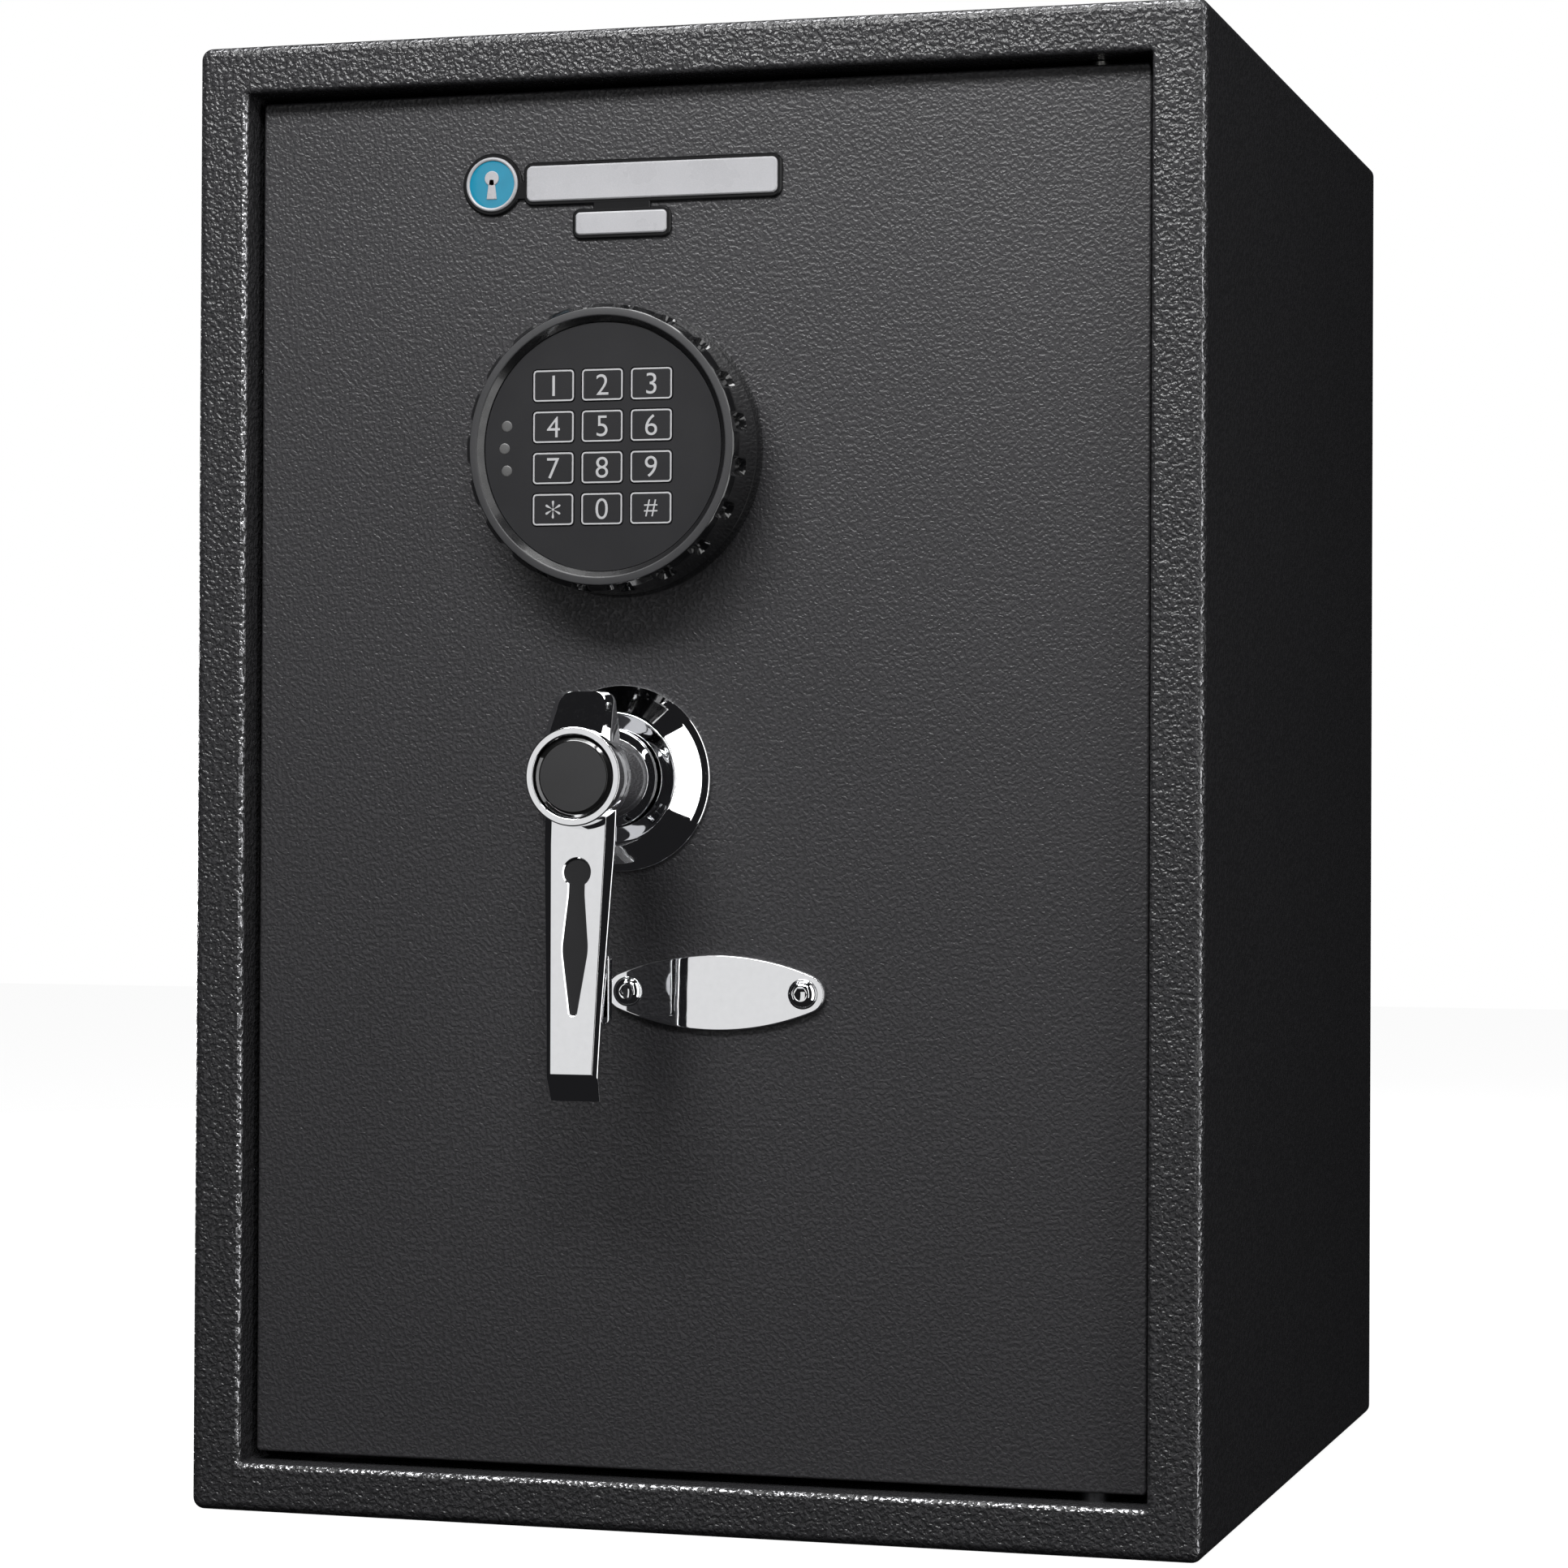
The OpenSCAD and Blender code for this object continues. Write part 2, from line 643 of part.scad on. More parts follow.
module keypad_housing() color("black")
  difference() {
    turned(axis_x, pad_z, [
      [pad_r - 4.5, base_h], [pad_r + 2, base_h], [pad_r + 1.3, pad_height - 3.2],
      [pad_r, pad_height - 2.2], [pad_r, pad_height - 0.3], [pad_r - 0.3, pad_height],
      [fascia_r + 1.4, pad_height], [fascia_r, fascia_h], [fascia_r, fascia_h - 2],
      [pad_r - 7, fascia_h - 2], [pad_r - 7, fascia_h - 3.5], [pad_r - 4.5, fascia_h - 3.5]
    ]);
    for (k = [0:lugs - 1])
      translate([axis_x, face_y, pad_z]) rotate([0, k * 360 / lugs, 0])
        translate([pad_r, 0, 0]) {
          rotate([0, 90, 0]) translate([0, 4 - pad_height + 4, 0]) cylinder(h = 5, r = 2.8);
          translate([0, 1 - pad_height, -2.8]) cube([5, 7, 5.6]);
        }
  }

function key_place(i) = [
  axis_x + (i % 3 - 1) * key_step_x,
  pad_z + ((rows - 1) / 2 - floor(i / 3)) * key_step_z
];

module keypad_fascia() color("dimgray")
  difference() {
    turned(axis_x, pad_z, [
      [0, fascia_h - 2], [fascia_r, fascia_h - 2], [fascia_r, fascia_h], [0, fascia_h]
    ]);
    for (i = [0:3 * rows - 1])
      raised(key_place(i)[0], key_place(i)[1], fascia_h - 3, fascia_h + 1)
        round_rect(key_w + 0.3, key_h + 0.3, 1.6);
    for (k = [-1:1]) lens_at(k, fascia_h - 3, fascia_h + 1);
  }

module lens_at(k, h0, h1)
  rod_y(axis_x - dot_arc * cos(12.5 * k), pad_z + dot_arc * sin(12.5 * k), dot_r,
    face_y - h1, face_y - h0);

module status_lenses() color("gray")
  for (k = [-1:1]) lens_at(k, fascia_h - 2.5, key_front_h);

// Key with a retaining flange behind the fascia
module keypad_key(i) {
  raised(key_place(i)[0], key_place(i)[1], key_back_h + 0.8, key_front_h)
    round_rect(key_w - 0.1, key_h - 0.1, 1.5);
  raised(key_place(i)[0], key_place(i)[1], key_back_h, key_back_h + 1)
    round_rect(key_w + 1.3, key_h + 1.3, 1.5);
}

module keypad_mat() color("dimgray")
  turned(axis_x, pad_z, [
    [0, mat_h - mat_thick], [pad_r - 6, mat_h - mat_thick], [pad_r - 6, mat_h], [0, mat_h]
  ]);

module keypad_board() color("darkgreen")
  turned(axis_x, pad_z, [
    [0, mat_h - mat_thick - board_thick], [pad_r - 6, mat_h - mat_thick - board_thick],
    [pad_r - 6, mat_h - mat_thick], [0, mat_h - mat_thick]
  ]);

module keypad_screws() color("silver")
  for (s = [-1, 1]) {
    rod_y(axis_x + s * 30, pad_z, 2, face_y - 3, plate_y);
    rod_y(axis_x + s * 30, pad_z, 4, plate_y, plate_y + 2.2);
  }

body_wrap();
front_frame();
back_panel();
hinge_brackets();
hinge_bushes();
shelf_clips();
floor_mat();
shelf();
door_plate();
door_pan();
door_cover();
cover_screws();
hinge_pins();
rose();
spindle_bush();
bolt_guides();
battery_box();
batteries();
battery_lid();
control_board();
solenoid_frame();
solenoid_coil();
solenoid_plunger();
reset_button();
key_cylinder();
cylinder_nut();
key_plug();
key_cam();
keyhole_plate();
plate_screws();
badge_plate();
badge_emblem();
lever_handle();
handle_cap();
handle_inlay();
spindle();
handle_cam();
spindle_clip();
bolt_bar();
locking_bolts();
bolt_screws();
keypad_base();
keypad_housing();
keypad_fascia();
keypad_mat();
keypad_board();
status_lenses();
keypad_screws();
color("dimgray") keypad_key(0);  // key_1
color("dimgray") keypad_key(1);  // key_2
color("dimgray") keypad_key(2);  // key_3
color("dimgray") keypad_key(3);  // key_4
color("dimgray") keypad_key(4);  // key_5
color("dimgray") keypad_key(5);  // key_6
color("dimgray") keypad_key(6);  // key_7
color("dimgray") keypad_key(7);  // key_8
color("dimgray") keypad_key(8);  // key_9
color("dimgray") keypad_key(9);  // key_star
color("dimgray") keypad_key(10);  // key_0
color("dimgray") keypad_key(11);  // key_hash
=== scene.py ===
import math

import bmesh
import bpy
import numpy as np
from mathutils import Matrix, Vector


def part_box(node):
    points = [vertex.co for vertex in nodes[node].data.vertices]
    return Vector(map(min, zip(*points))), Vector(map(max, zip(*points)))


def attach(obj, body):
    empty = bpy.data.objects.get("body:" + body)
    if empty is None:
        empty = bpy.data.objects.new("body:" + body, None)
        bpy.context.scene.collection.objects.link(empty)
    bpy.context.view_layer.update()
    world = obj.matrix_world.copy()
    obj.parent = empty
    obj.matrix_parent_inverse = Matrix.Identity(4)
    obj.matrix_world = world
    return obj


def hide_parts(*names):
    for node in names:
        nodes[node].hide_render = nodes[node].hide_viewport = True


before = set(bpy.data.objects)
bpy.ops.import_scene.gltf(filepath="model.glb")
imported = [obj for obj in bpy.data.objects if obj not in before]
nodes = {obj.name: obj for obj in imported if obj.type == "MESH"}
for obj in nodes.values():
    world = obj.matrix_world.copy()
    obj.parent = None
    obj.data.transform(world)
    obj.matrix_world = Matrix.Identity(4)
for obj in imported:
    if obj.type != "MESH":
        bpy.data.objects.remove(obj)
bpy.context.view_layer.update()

# Sizes in this script are millimetres and angles are degrees, unless a note says otherwise.
# x runs to the right, z up, and the front faces -y. A height is measured off the door's face.
metre = 0.001
scene = bpy.context.scene


def boxOf(node):
    # lowest corner, highest corner and middle of a CAD node
    low, high = (np.array(corner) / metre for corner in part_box(node))
    return low, high, (low + high) / 2


doorLow, doorHigh, doorMid = boxOf("door_plate")
faceY = doorLow[1]

# Camera and light

cameraSet = dict(
    place=(422.7, -1493.0, 234.6), yaw=-16.438, pitch=0.567, roll=-0.282, lens=95.85, sensor=36,
)


def makeCamera(s):
    yaw, pitch, roll = (math.radians(s[key]) for key in ("yaw", "pitch", "roll"))
    forward = Vector((math.sin(yaw) * math.cos(pitch), math.cos(yaw) * math.cos(pitch), math.sin(pitch)))
    right = Vector((math.cos(yaw), -math.sin(yaw), 0))
    down = forward.cross(right)
    leaned = math.cos(roll) * right + math.sin(roll) * down
    fallen = math.cos(roll) * down - math.sin(roll) * right
    camera = bpy.data.objects.new("viewCamera", bpy.data.cameras.new("viewCamera"))
    camera.data.lens = s["lens"]
    camera.data.sensor_width = s["sensor"]
    turn = Matrix((leaned, -fallen, -forward)).transposed().to_4x4()
    camera.matrix_world = Matrix.Translation(Vector(s["place"]) * metre) @ turn
    scene.collection.objects.link(camera)
    scene.camera = camera


makeCamera(cameraSet)
scene.view_settings.view_transform = "Standard"
print("camera set")


class Wire:
    # a shader socket that takes part in Python sums; every operation adds one Math node
    def __init__(self, graph, socket):
        self.graph = graph
        self.socket = socket

    def math(self, operation, *others):
        values = {0: self}
        values.update({count + 1: other for count, other in enumerate(others)})
        return self.graph.node("ShaderNodeMath", dict(operation=operation), values)

    def __add__(self, other):
        return self.math("ADD", other)

    def __radd__(self, other):
        return self.math("ADD", other)

    def __sub__(self, other):
        return self.math("SUBTRACT", other)

    def __rsub__(self, other):
        return (self * -1) + other

    def __mul__(self, other):
        return self.math("MULTIPLY", other)

    def __rmul__(self, other):
        return self.math("MULTIPLY", other)

    def ramp(self, low, high):
        # smooth step from 0 at low to 1 at high
        return self.graph.node(
            "ShaderNodeMapRange", dict(interpolation_type="SMOOTHSTEP"),
            {"Value": self, "From Min": low, "From Max": high},
        )


class Graph:
    # the nodes of one material or world
    def __init__(self, tree):
        self.tree = tree

    def node(self, kind, settings=None, values=None, out=0):
        # settings are set first, then the sockets get their values or links
        made = self.tree.nodes.new(kind)
        for key, value in (settings or {}).items():
            setattr(made, key, value)
        for key, value in (values or {}).items():
            if isinstance(value, Wire):
                self.tree.links.new(value.socket, made.inputs[key])
            else:
                made.inputs[key].default_value = value
        return Wire(self, made.outputs[out])

    def place(self, scale=1, stretch=(1, 1, 1)):
        # object coordinates in metres, times scale and stretched along the three axes
        where = self.node("ShaderNodeTexCoord", out="Object")
        factor = tuple(scale * share for share in stretch)
        return self.node(
            "ShaderNodeVectorMath", dict(operation="MULTIPLY"), {0: where, 1: factor}
        )

    def noise(self, size, detail=2, rough=0.5, bend=0, stretch=(1, 1, 1)):
        # soft noise whose patches are about size millimetres wide
        return self.node(
            "ShaderNodeTexNoise", {},
            {"Vector": self.place(1 / (size * metre), stretch), "Scale": 1, "Detail": detail,
             "Roughness": rough, "Distortion": bend},
        )

    def cells(self, size):
        # distance to the nearest of points about size millimetres apart
        values = {"Vector": self.place(1 / (size * metre)), "Scale": 1, "Randomness": 1}
        return self.node("ShaderNodeTexVoronoi", dict(feature="F1"), values)

    def blend(self, factor, first, second):
        # colour mix; first where factor is 0
        mix = self.tree.nodes.new("ShaderNodeMix")
        mix.data_type = "RGBA"
        for socket, value in zip((mix.inputs[0], mix.inputs[6], mix.inputs[7]), (factor, first, second)):
            if isinstance(value, Wire):
                self.tree.links.new(value.socket, socket)
            else:
                socket.default_value = value if socket is mix.inputs[0] else (*value, 1)
        return Wire(self, mix.outputs[2])

    def bump(self, height, depth):
        # depth is the height in millimetres that a rise from 0 to 1 stands for
        return self.node("ShaderNodeBump", {}, {"Height": height, "Distance": depth * metre, "Strength": 1})


def makeMaterial(name, recipe, **fixed):
    # recipe(graph) gives what varies over the surface; fixed values go straight on the sockets
    material = bpy.data.materials.new(name)
    material.use_nodes = True
    graph = Graph(material.node_tree)
    shader = material.node_tree.nodes["Principled BSDF"]
    for key, value in fixed.items():
        socket = shader.inputs[key.replace("_", " ")]
        socket.default_value = (*value, 1) if isinstance(value, tuple) else value
    for key, value in recipe(graph).items():
        graph.tree.links.new(value.socket, shader.inputs[key])
    return material


worldSet = dict(shown=(1, 1, 1), around=(0.012, 0.012, 0.013))
lamps = dict(
    # place of the middle, point aimed at, width and height, radiance
    mainHigh=((-180, -1050, 1120), (20, -180, 400), (800, 300), 18.0),
    highRight=((480, -1250, 1250), (80, -170, 430), (240, 240), 26.0),
    frontLeft=((-620, -2150, 420), (0, -180, 260), (620, 1300), 0.8),
    rightStrip=((640, -1700, 420), (-24, -215, 260), (110, 1500), 3.0),
    rightEdge=((950, -560, 480), (-24, -180, 480), (390, 1900), 2.9),
    overhead=((-150, -470, 1900), (-150, -470, 0), (1300, 450), 11.0),
    topBack=((0, 400, 1900), (0, 0, 500), (900, 250), 4.0),
    behind=((-1250, 1450, 225), (-60, 60, 225), (1500, 430), 8.5),
)


def makeWorld(s):
    world = bpy.data.worlds.new("studioWorld")
    world.use_nodes = True
    scene.world = world
    graph = Graph(world.node_tree)
    seen = graph.node("ShaderNodeLightPath", out="Is Camera Ray")
    colour = graph.blend(seen, s["around"], s["shown"])
    graph.tree.links.new(colour.socket, graph.tree.nodes["Background"].inputs["Color"])


def makeLamp(name, place, aim, size, radiance):
    lamp = bpy.data.lights.new(name, "AREA")
    lamp.shape = "RECTANGLE"
    lamp.size, lamp.size_y = (side * metre for side in size)
    lamp.energy = radiance * math.pi * lamp.size * lamp.size_y
    holder = bpy.data.objects.new(name, lamp)
    holder.location = Vector(place) * metre
    aimed = (Vector(aim) - Vector(place)).to_track_quat("-Z", "Y")
    holder.rotation_euler = aimed.to_euler()
    holder.visible_camera = False
    scene.collection.objects.link(holder)


def makeFloor(halfSide=4000):
    mesh = bpy.data.meshes.new("studioFloor")
    corner = halfSide * metre
    corners = [(-corner, -corner, 0), (corner, -corner, 0), (corner, corner, 0), (-corner, corner, 0)]
    mesh.from_pydata(corners, [], [(0, 1, 2, 3)])
    floor = bpy.data.objects.new("studioFloor", mesh)
    paper = makeMaterial(
        "paleFloor", lambda g: {"Base Color": g.blend(g.noise(900), (0.22, 0.22, 0.22), (0.24, 0.24, 0.24))},
        Roughness=0.9, Emission_Color=(1.0, 1.0, 1.0), Emission_Strength=0.95,
    )
    mesh.materials.append(paper)
    floor.visible_glossy = False
    floor.visible_diffuse = False
    scene.collection.objects.link(floor)


makeWorld(worldSet)
for lampName, lampValues in lamps.items():
    makeLamp(lampName, *lampValues)
makeFloor()
print("light and floor set")

# Finishes

paintSet = dict(
    dark=(0.022, 0.022, 0.0235), light=(0.038, 0.0375, 0.04),
    grain=1.5, depth=0.24, fine=0.5, gloss=(0.15, 0.3),
)
# the door's coat is finer and flatter than the cabinet's
doorPaintSet = dict(
    dark=(0.026, 0.0255, 0.0275), light=(0.038, 0.037, 0.04),
    grain=1.25, depth=0.1, fine=0.45, gloss=(0.3, 0.44),
)


def hammeredPaint(s, name="hammeredPaint"):
    def recipe(g):
        lumps = g.noise(s["grain"], detail=1.5, rough=0.45, bend=0.35)
        tops = lumps.ramp(0.34, 0.66)
        fine = g.noise(s["fine"], detail=1)
        patch = g.noise(60, detail=3)
        # the base colour is darker in the hollows between the lumps and lighter on their tops, painted shade
        # and light, mixed with a tone that varies at random by patch
        lumpShadeAndTone = (tops * 0.75 + patch * 0.25).ramp(0.1, 0.9)
        height = tops + fine * 0.16
        return {
            "Base Color": g.blend(lumpShadeAndTone, s["dark"], s["light"]),
            "Roughness": (1 - tops) * (s["gloss"][1] - s["gloss"][0]) + s["gloss"][0],
            "Normal": g.bump(height, s["depth"]),
        }
    return makeMaterial(name, recipe, Specular_IOR_Level=0.5)


def edgeHighlightPaint(s, name, glintTone, spread):
    # the same coat turned lighter and metallic in patches along an edge: a painted highlight that stands in
    # for the lamps' glints there
    def recipe(g):
        tops = g.noise(s["grain"], detail=1.5, rough=0.45, bend=0.35).ramp(0.34, 0.66)
        glints = (tops * 0.6 + g.noise(9, detail=3) * 0.4).ramp(*spread)
        return {
            "Base Color": g.blend(glints, s["dark"], glintTone),
            "Metallic": glints * 0.9,
            "Roughness": (1 - tops) * 0.2 + 0.18,
            "Normal": g.bump(tops, s["depth"]),
        }
    return makeMaterial(name, recipe)


def polishedChrome(name="polishedChrome", tint=(0.88, 0.885, 0.9), ripple=0.012):
    def recipe(g):
        wave = g.noise(7, detail=1)
        haze = g.noise(2.5, detail=4)
        streak = g.noise(0.5, detail=3, stretch=(1, 1, 0.08))
        dulled = (streak * 0.6 + haze * 0.4).ramp(0.45, 0.85)
        darker = tuple(share * 0.93 for share in tint)
        return {
            "Base Color": g.blend(haze, tint, darker),
            "Roughness": dulled * 0.06 + 0.025,
            "Normal": g.bump(wave, ripple),
        }
    return makeMaterial(name, recipe, Metallic=1.0)


def satinPlastic(name, tone, gloss=(0.42, 0.55), grain=0.28, depth=0.012, lift=1.35, shine=0.5):
    def recipe(g):
        pits = g.cells(grain)
        smear = g.noise(14, detail=4)
        lighter = tuple(min(1, share * lift) for share in tone)
        return {
            "Base Color": g.blend((pits * 0.5 + smear * 0.5).ramp(0.1, 0.9), tone, lighter),
            "Roughness": smear * (gloss[1] - gloss[0]) + gloss[0],
            "Normal": g.bump(pits, depth),
        }
    return makeMaterial(name, recipe, Specular_IOR_Level=shine)


def glossPlastic(name, tone, gloss=(0.08, 0.2), ripple=0.01, coat=0.5, lift=1.5):
    def recipe(g):
        wave = g.noise(9, detail=1)
        smear = g.noise(5, detail=5)
        lighter = tuple(min(1, share * lift) for share in tone)
        return {
            "Base Color": g.blend(smear, tone, lighter),
            "Roughness": smear.ramp(0.3, 0.8) * (gloss[1] - gloss[0]) + gloss[0],
            "Normal": g.bump(wave, ripple),
        }
    return makeMaterial(name, recipe, Coat_Weight=coat, Coat_Roughness=0.05)


def brushedMetal(name, tone, gloss=(0.22, 0.42), along=(1, 1, 0.03), fine=0.12, depth=0.004, stain=0.75):
    def recipe(g):
        lines = g.noise(fine, detail=3, rough=0.6, stretch=along)
        cloud = g.noise(18, detail=5)
        duller = tuple(share * stain for share in tone)
        return {
            "Base Color": g.blend((lines * 0.5 + cloud * 0.5).ramp(0.25, 0.8), duller, tone),
            "Roughness": (lines * 0.5 + cloud * 0.5) * (gloss[1] - gloss[0]) + gloss[0],
            "Normal": g.bump(lines, depth),
        }
    return makeMaterial(name, recipe, Metallic=1.0)


def needleFelt(name="needleFelt", dark=(0.03, 0.03, 0.033), light=(0.1, 0.1, 0.11)):
    def recipe(g):
        hairs = g.noise(0.6, detail=5, rough=0.7, bend=1.4, stretch=(1, 0.35, 1))
        crossed = g.noise(0.6, detail=5, rough=0.7, bend=1.4, stretch=(0.35, 1, 1))
        tufts = g.noise(5, detail=3)
        fibre = hairs * 0.5 + crossed * 0.5
        return {
            "Base Color": g.blend((fibre * 0.7 + tufts * 0.3).ramp(0.3, 0.7), dark, light),
            "Roughness": fibre * 0.15 + 0.82,
            "Normal": g.bump(fibre + tufts * 0.8, 0.5),
        }
    return makeMaterial(name, recipe, Sheen_Weight=0.35, Sheen_Roughness=0.5)


def circuitBoard(name="circuitBoard", mask=(0.01, 0.07, 0.03), copper=(0.03, 0.16, 0.06)):
    def recipe(g):
        tracks = g.node(
            "ShaderNodeTexBrick", dict(offset=0.37, squash=1.0),
            {"Vector": g.place(1 / (6 * metre), (1, 0, 1)), "Scale": 1.0, "Mortar Size": 0.06,
             "Brick Width": 1.4, "Row Height": 0.42}, out="Fac",
        )
        dust = g.noise(3, detail=4)
        return {
            "Base Color": g.blend(tracks, mask, copper),
            "Roughness": dust * 0.2 + 0.25,
            "Normal": g.bump(tracks, 0.035),
        }
    return makeMaterial(name, recipe, Coat_Weight=0.3)


def woundCopper(name="woundCopper", dark=(0.2, 0.06, 0.02), light=(0.62, 0.25, 0.1)):
    def recipe(g):
        turns = g.node(
            "ShaderNodeTexWave", dict(wave_type="BANDS", bands_direction="Z"),
            {"Vector": g.place(1 / (3.2 * metre)), "Scale": 1.0, "Distortion": 0.15},
        )
        cloud = g.noise(4, detail=3)
        return {
            "Base Color": g.blend(turns * 0.8 + cloud * 0.2, dark, light),
            "Roughness": cloud * 0.15 + 0.25,
            "Normal": g.bump(turns, 0.12),
        }
    return makeMaterial(name, recipe, Metallic=0.8)


def batterySleeve(name="batterySleeve", split=178, wrap=(0.55, 0.2, 0.03), band=(0.02, 0.02, 0.022)):
    def recipe(g):
        height = g.node("ShaderNodeSeparateXYZ", {}, {0: g.place(1 / metre)}, out=2)
        capped = height.ramp(split + 7.8, split + 8.2)
        crease = g.noise(1.2, detail=4)
        return {
            "Base Color": g.blend(capped, wrap, band),
            "Roughness": crease * 0.2 + 0.2,
            "Normal": g.bump(crease, 0.05),
        }
    return makeMaterial(name, recipe, Coat_Weight=0.4)


paint = hammeredPaint(paintSet)
doorPaint = hammeredPaint(doorPaintSet, "doorPaint")
# painted highlights: lighter, metallic copies of the coat for the glints along the cabinet's edges
openingGlintPaint = edgeHighlightPaint(paintSet, "edgeHighlightPaint", (0.45, 0.45, 0.465), (0.42, 0.66))
outerEdgeGlintPaint = edgeHighlightPaint(paintSet, "outerEdgeGlintPaint", (0.2, 0.2, 0.207), (0.2, 0.55))
chrome = polishedChrome()
chromeRose = polishedChrome("roseChrome", ripple=0.03)
keypadSatin = satinPlastic(
    "keypadSatin", (0.013, 0.013, 0.0145), gloss=(0.4, 0.5), grain=0.22, depth=0.01, shine=0.3,
)
rimSatin = satinPlastic("rimSatin", (0.032, 0.032, 0.034), gloss=(0.4, 0.5), grain=0.2, depth=0.012)
capSatin = satinPlastic("capSatin", (0.022, 0.022, 0.023), gloss=(0.5, 0.6), grain=0.2, depth=0.01)
capGloss = glossPlastic("capGloss", (0.006, 0.006, 0.006))
inlaySatin = satinPlastic("inlaySatin", (0.012, 0.012, 0.013), gloss=(0.42, 0.5), grain=0.3, shine=0.3)
keypadGloss = glossPlastic("keypadGloss", (0.006, 0.006, 0.0065), gloss=(0.1, 0.22))
slopeGloss = glossPlastic("slopeGloss", (0.008, 0.008, 0.0085), gloss=(0.22, 0.32), coat=0.2)
printSilver = satinPlastic(
    "printSilver", (0.42, 0.42, 0.43), gloss=(0.3, 0.42), grain=0.15, depth=0.004, lift=1.15,
)
lensGrey = satinPlastic("lensGrey", (0.085, 0.085, 0.085), gloss=(0.3, 0.4), grain=0.3, depth=0.006)
badgeBlack = satinPlastic(
    "badgeBlack", (0.006, 0.006, 0.0065), gloss=(0.2, 0.3), depth=0.004, shine=0.2,
)
badgeSilver = satinPlastic(
    "badgeSilver", (0.36, 0.36, 0.375), gloss=(0.22, 0.34), grain=0.2, depth=0.006, lift=1.3,
)
tealEnamel = glossPlastic("tealEnamel", (0.008, 0.19, 0.30), gloss=(0.12, 0.22), lift=1.3)
zincSteel = brushedMetal("zincSteel", (0.62, 0.61, 0.58))
blackSteel = brushedMetal("blackSteel", (0.09, 0.09, 0.095), gloss=(0.3, 0.5))
turnedBrass = brushedMetal("turnedBrass", (0.72, 0.52, 0.24), along=(1, 0.04, 1), stain=0.7)
blackPlastic = satinPlastic("blackPlastic", (0.018, 0.018, 0.019), grain=0.5, depth=0.03)
nylonWhite = satinPlastic("nylonWhite", (0.62, 0.6, 0.52), gloss=(0.35, 0.5), lift=1.15)
rubberGrey = satinPlastic("rubberGrey", (0.04, 0.04, 0.04), gloss=(0.6, 0.75))
buttonRed = glossPlastic("buttonRed", (0.42, 0.015, 0.012), gloss=(0.15, 0.3), lift=1.2)
feltGrey = needleFelt()
boardGreen = circuitBoard()
coilCopper = woundCopper()
sleeve = batterySleeve()
print("finishes made")

# Shape helpers


def softened(points, reach, steps=4, closed=False):
    # each corner becomes a quadratic curve that starts and ends reach away from it,
    # or half a side away where the side is short; reach is one number or one per corner
    points = np.array(points, float)
    count = len(points)
    reach = np.broadcast_to(np.array(reach, float), (count,))
    t = np.linspace(0, 1, steps + 1)[:, None]
    made = []
    for i, corner in enumerate(points):
        ends = not closed and i in (0, count - 1)
        if ends or reach[i] <= 0:
            made.append(corner[None])
            continue
        sides = [points[i - 1] - corner, points[(i + 1) % count] - corner]
        spans = [np.linalg.norm(side) for side in sides]
        first, last = (corner + side / span * min(reach[i], span / 2) for side, span in zip(sides, spans))
        made.append((1 - t) ** 2 * first + 2 * t * (1 - t) * corner + t ** 2 * last)
    return np.vstack(made)


def roundedRectangle(halfWidth, halfHeight, radius, steps=6):
    # four quarter circles, anticlockwise from the right-hand side
    turn = np.radians(np.linspace(0, 90, steps + 1))
    made = []
    for quarter, (sx, sz) in enumerate(((1, 1), (-1, 1), (-1, -1), (1, -1))):
        angle = turn + quarter * math.pi / 2
        made.append(np.column_stack((
            sx * (halfWidth - radius) + radius * np.cos(angle),
            sz * (halfHeight - radius) + radius * np.sin(angle),
        )))
    return np.vstack(made)


def circle(radius, steps=48):
    angle = np.linspace(0, 2 * math.pi, steps, endpoint=False)
    return np.column_stack((radius * np.cos(angle), radius * np.sin(angle)))


def shrunk(outline, inset):
    # every point moves inwards by inset along the mitre of its two sides
    before = outline - np.roll(outline, 1, 0)
    after = np.roll(outline, -1, 0) - outline
    normals = []
    for side in (before, after):
        length = np.maximum(np.linalg.norm(side, axis=1), 1e-9)
        normals.append(np.column_stack((side[:, 1], -side[:, 0])) / length[:, None])
    lean = 1 + (normals[0] * normals[1]).sum(1)
    mitre = (normals[0] + normals[1]) / np.maximum(lean, 0.3)[:, None]
    return outline - inset * mitre


def ringAt(outline, y, centre=(0, 0)):
    # a front view outline stood up at depth y
    return np.column_stack((outline[:, 0] + centre[0], np.full(len(outline), y), outline[:, 1] + centre[1]))


def slabRings(outline, front, back, ease, steps=4, centre=(0, 0)):
    # a plate's rings: each edge is a quarter circle of radius ease, and both faces are left to the caps
    turn = np.radians(np.linspace(0, 90, steps + 1))
    rings = [(ease * (1 - math.sin(a)), front + ease * (1 - math.cos(a))) for a in turn]
    rings += [(ease * (1 - math.sin(a)), back - ease * (1 - math.cos(a))) for a in turn[::-1]]
    return np.array([ringAt(shrunk(outline, inset), y, centre) for inset, y in rings])


def turnedRings(profile, centre, along=(0, -1, 0), steps=96):
    # a profile of (radius, distance along the axis) turned about the axis through centre
    along = np.array(along, float)
    side = np.cross(along, (0, 0, 1)) if abs(along[2]) < 0.9 else np.array((1.0, 0, 0))
    side = side / np.linalg.norm(side)
    other = np.cross(along, side)
    angle = np.linspace(0, 2 * math.pi, steps, endpoint=False)
    spokes = np.cos(angle)[:, None] * side + np.sin(angle)[:, None] * other
    radius, reach = np.array(profile, float).T
    return np.array(centre) + reach[:, None, None] * along + radius[:, None, None] * spokes


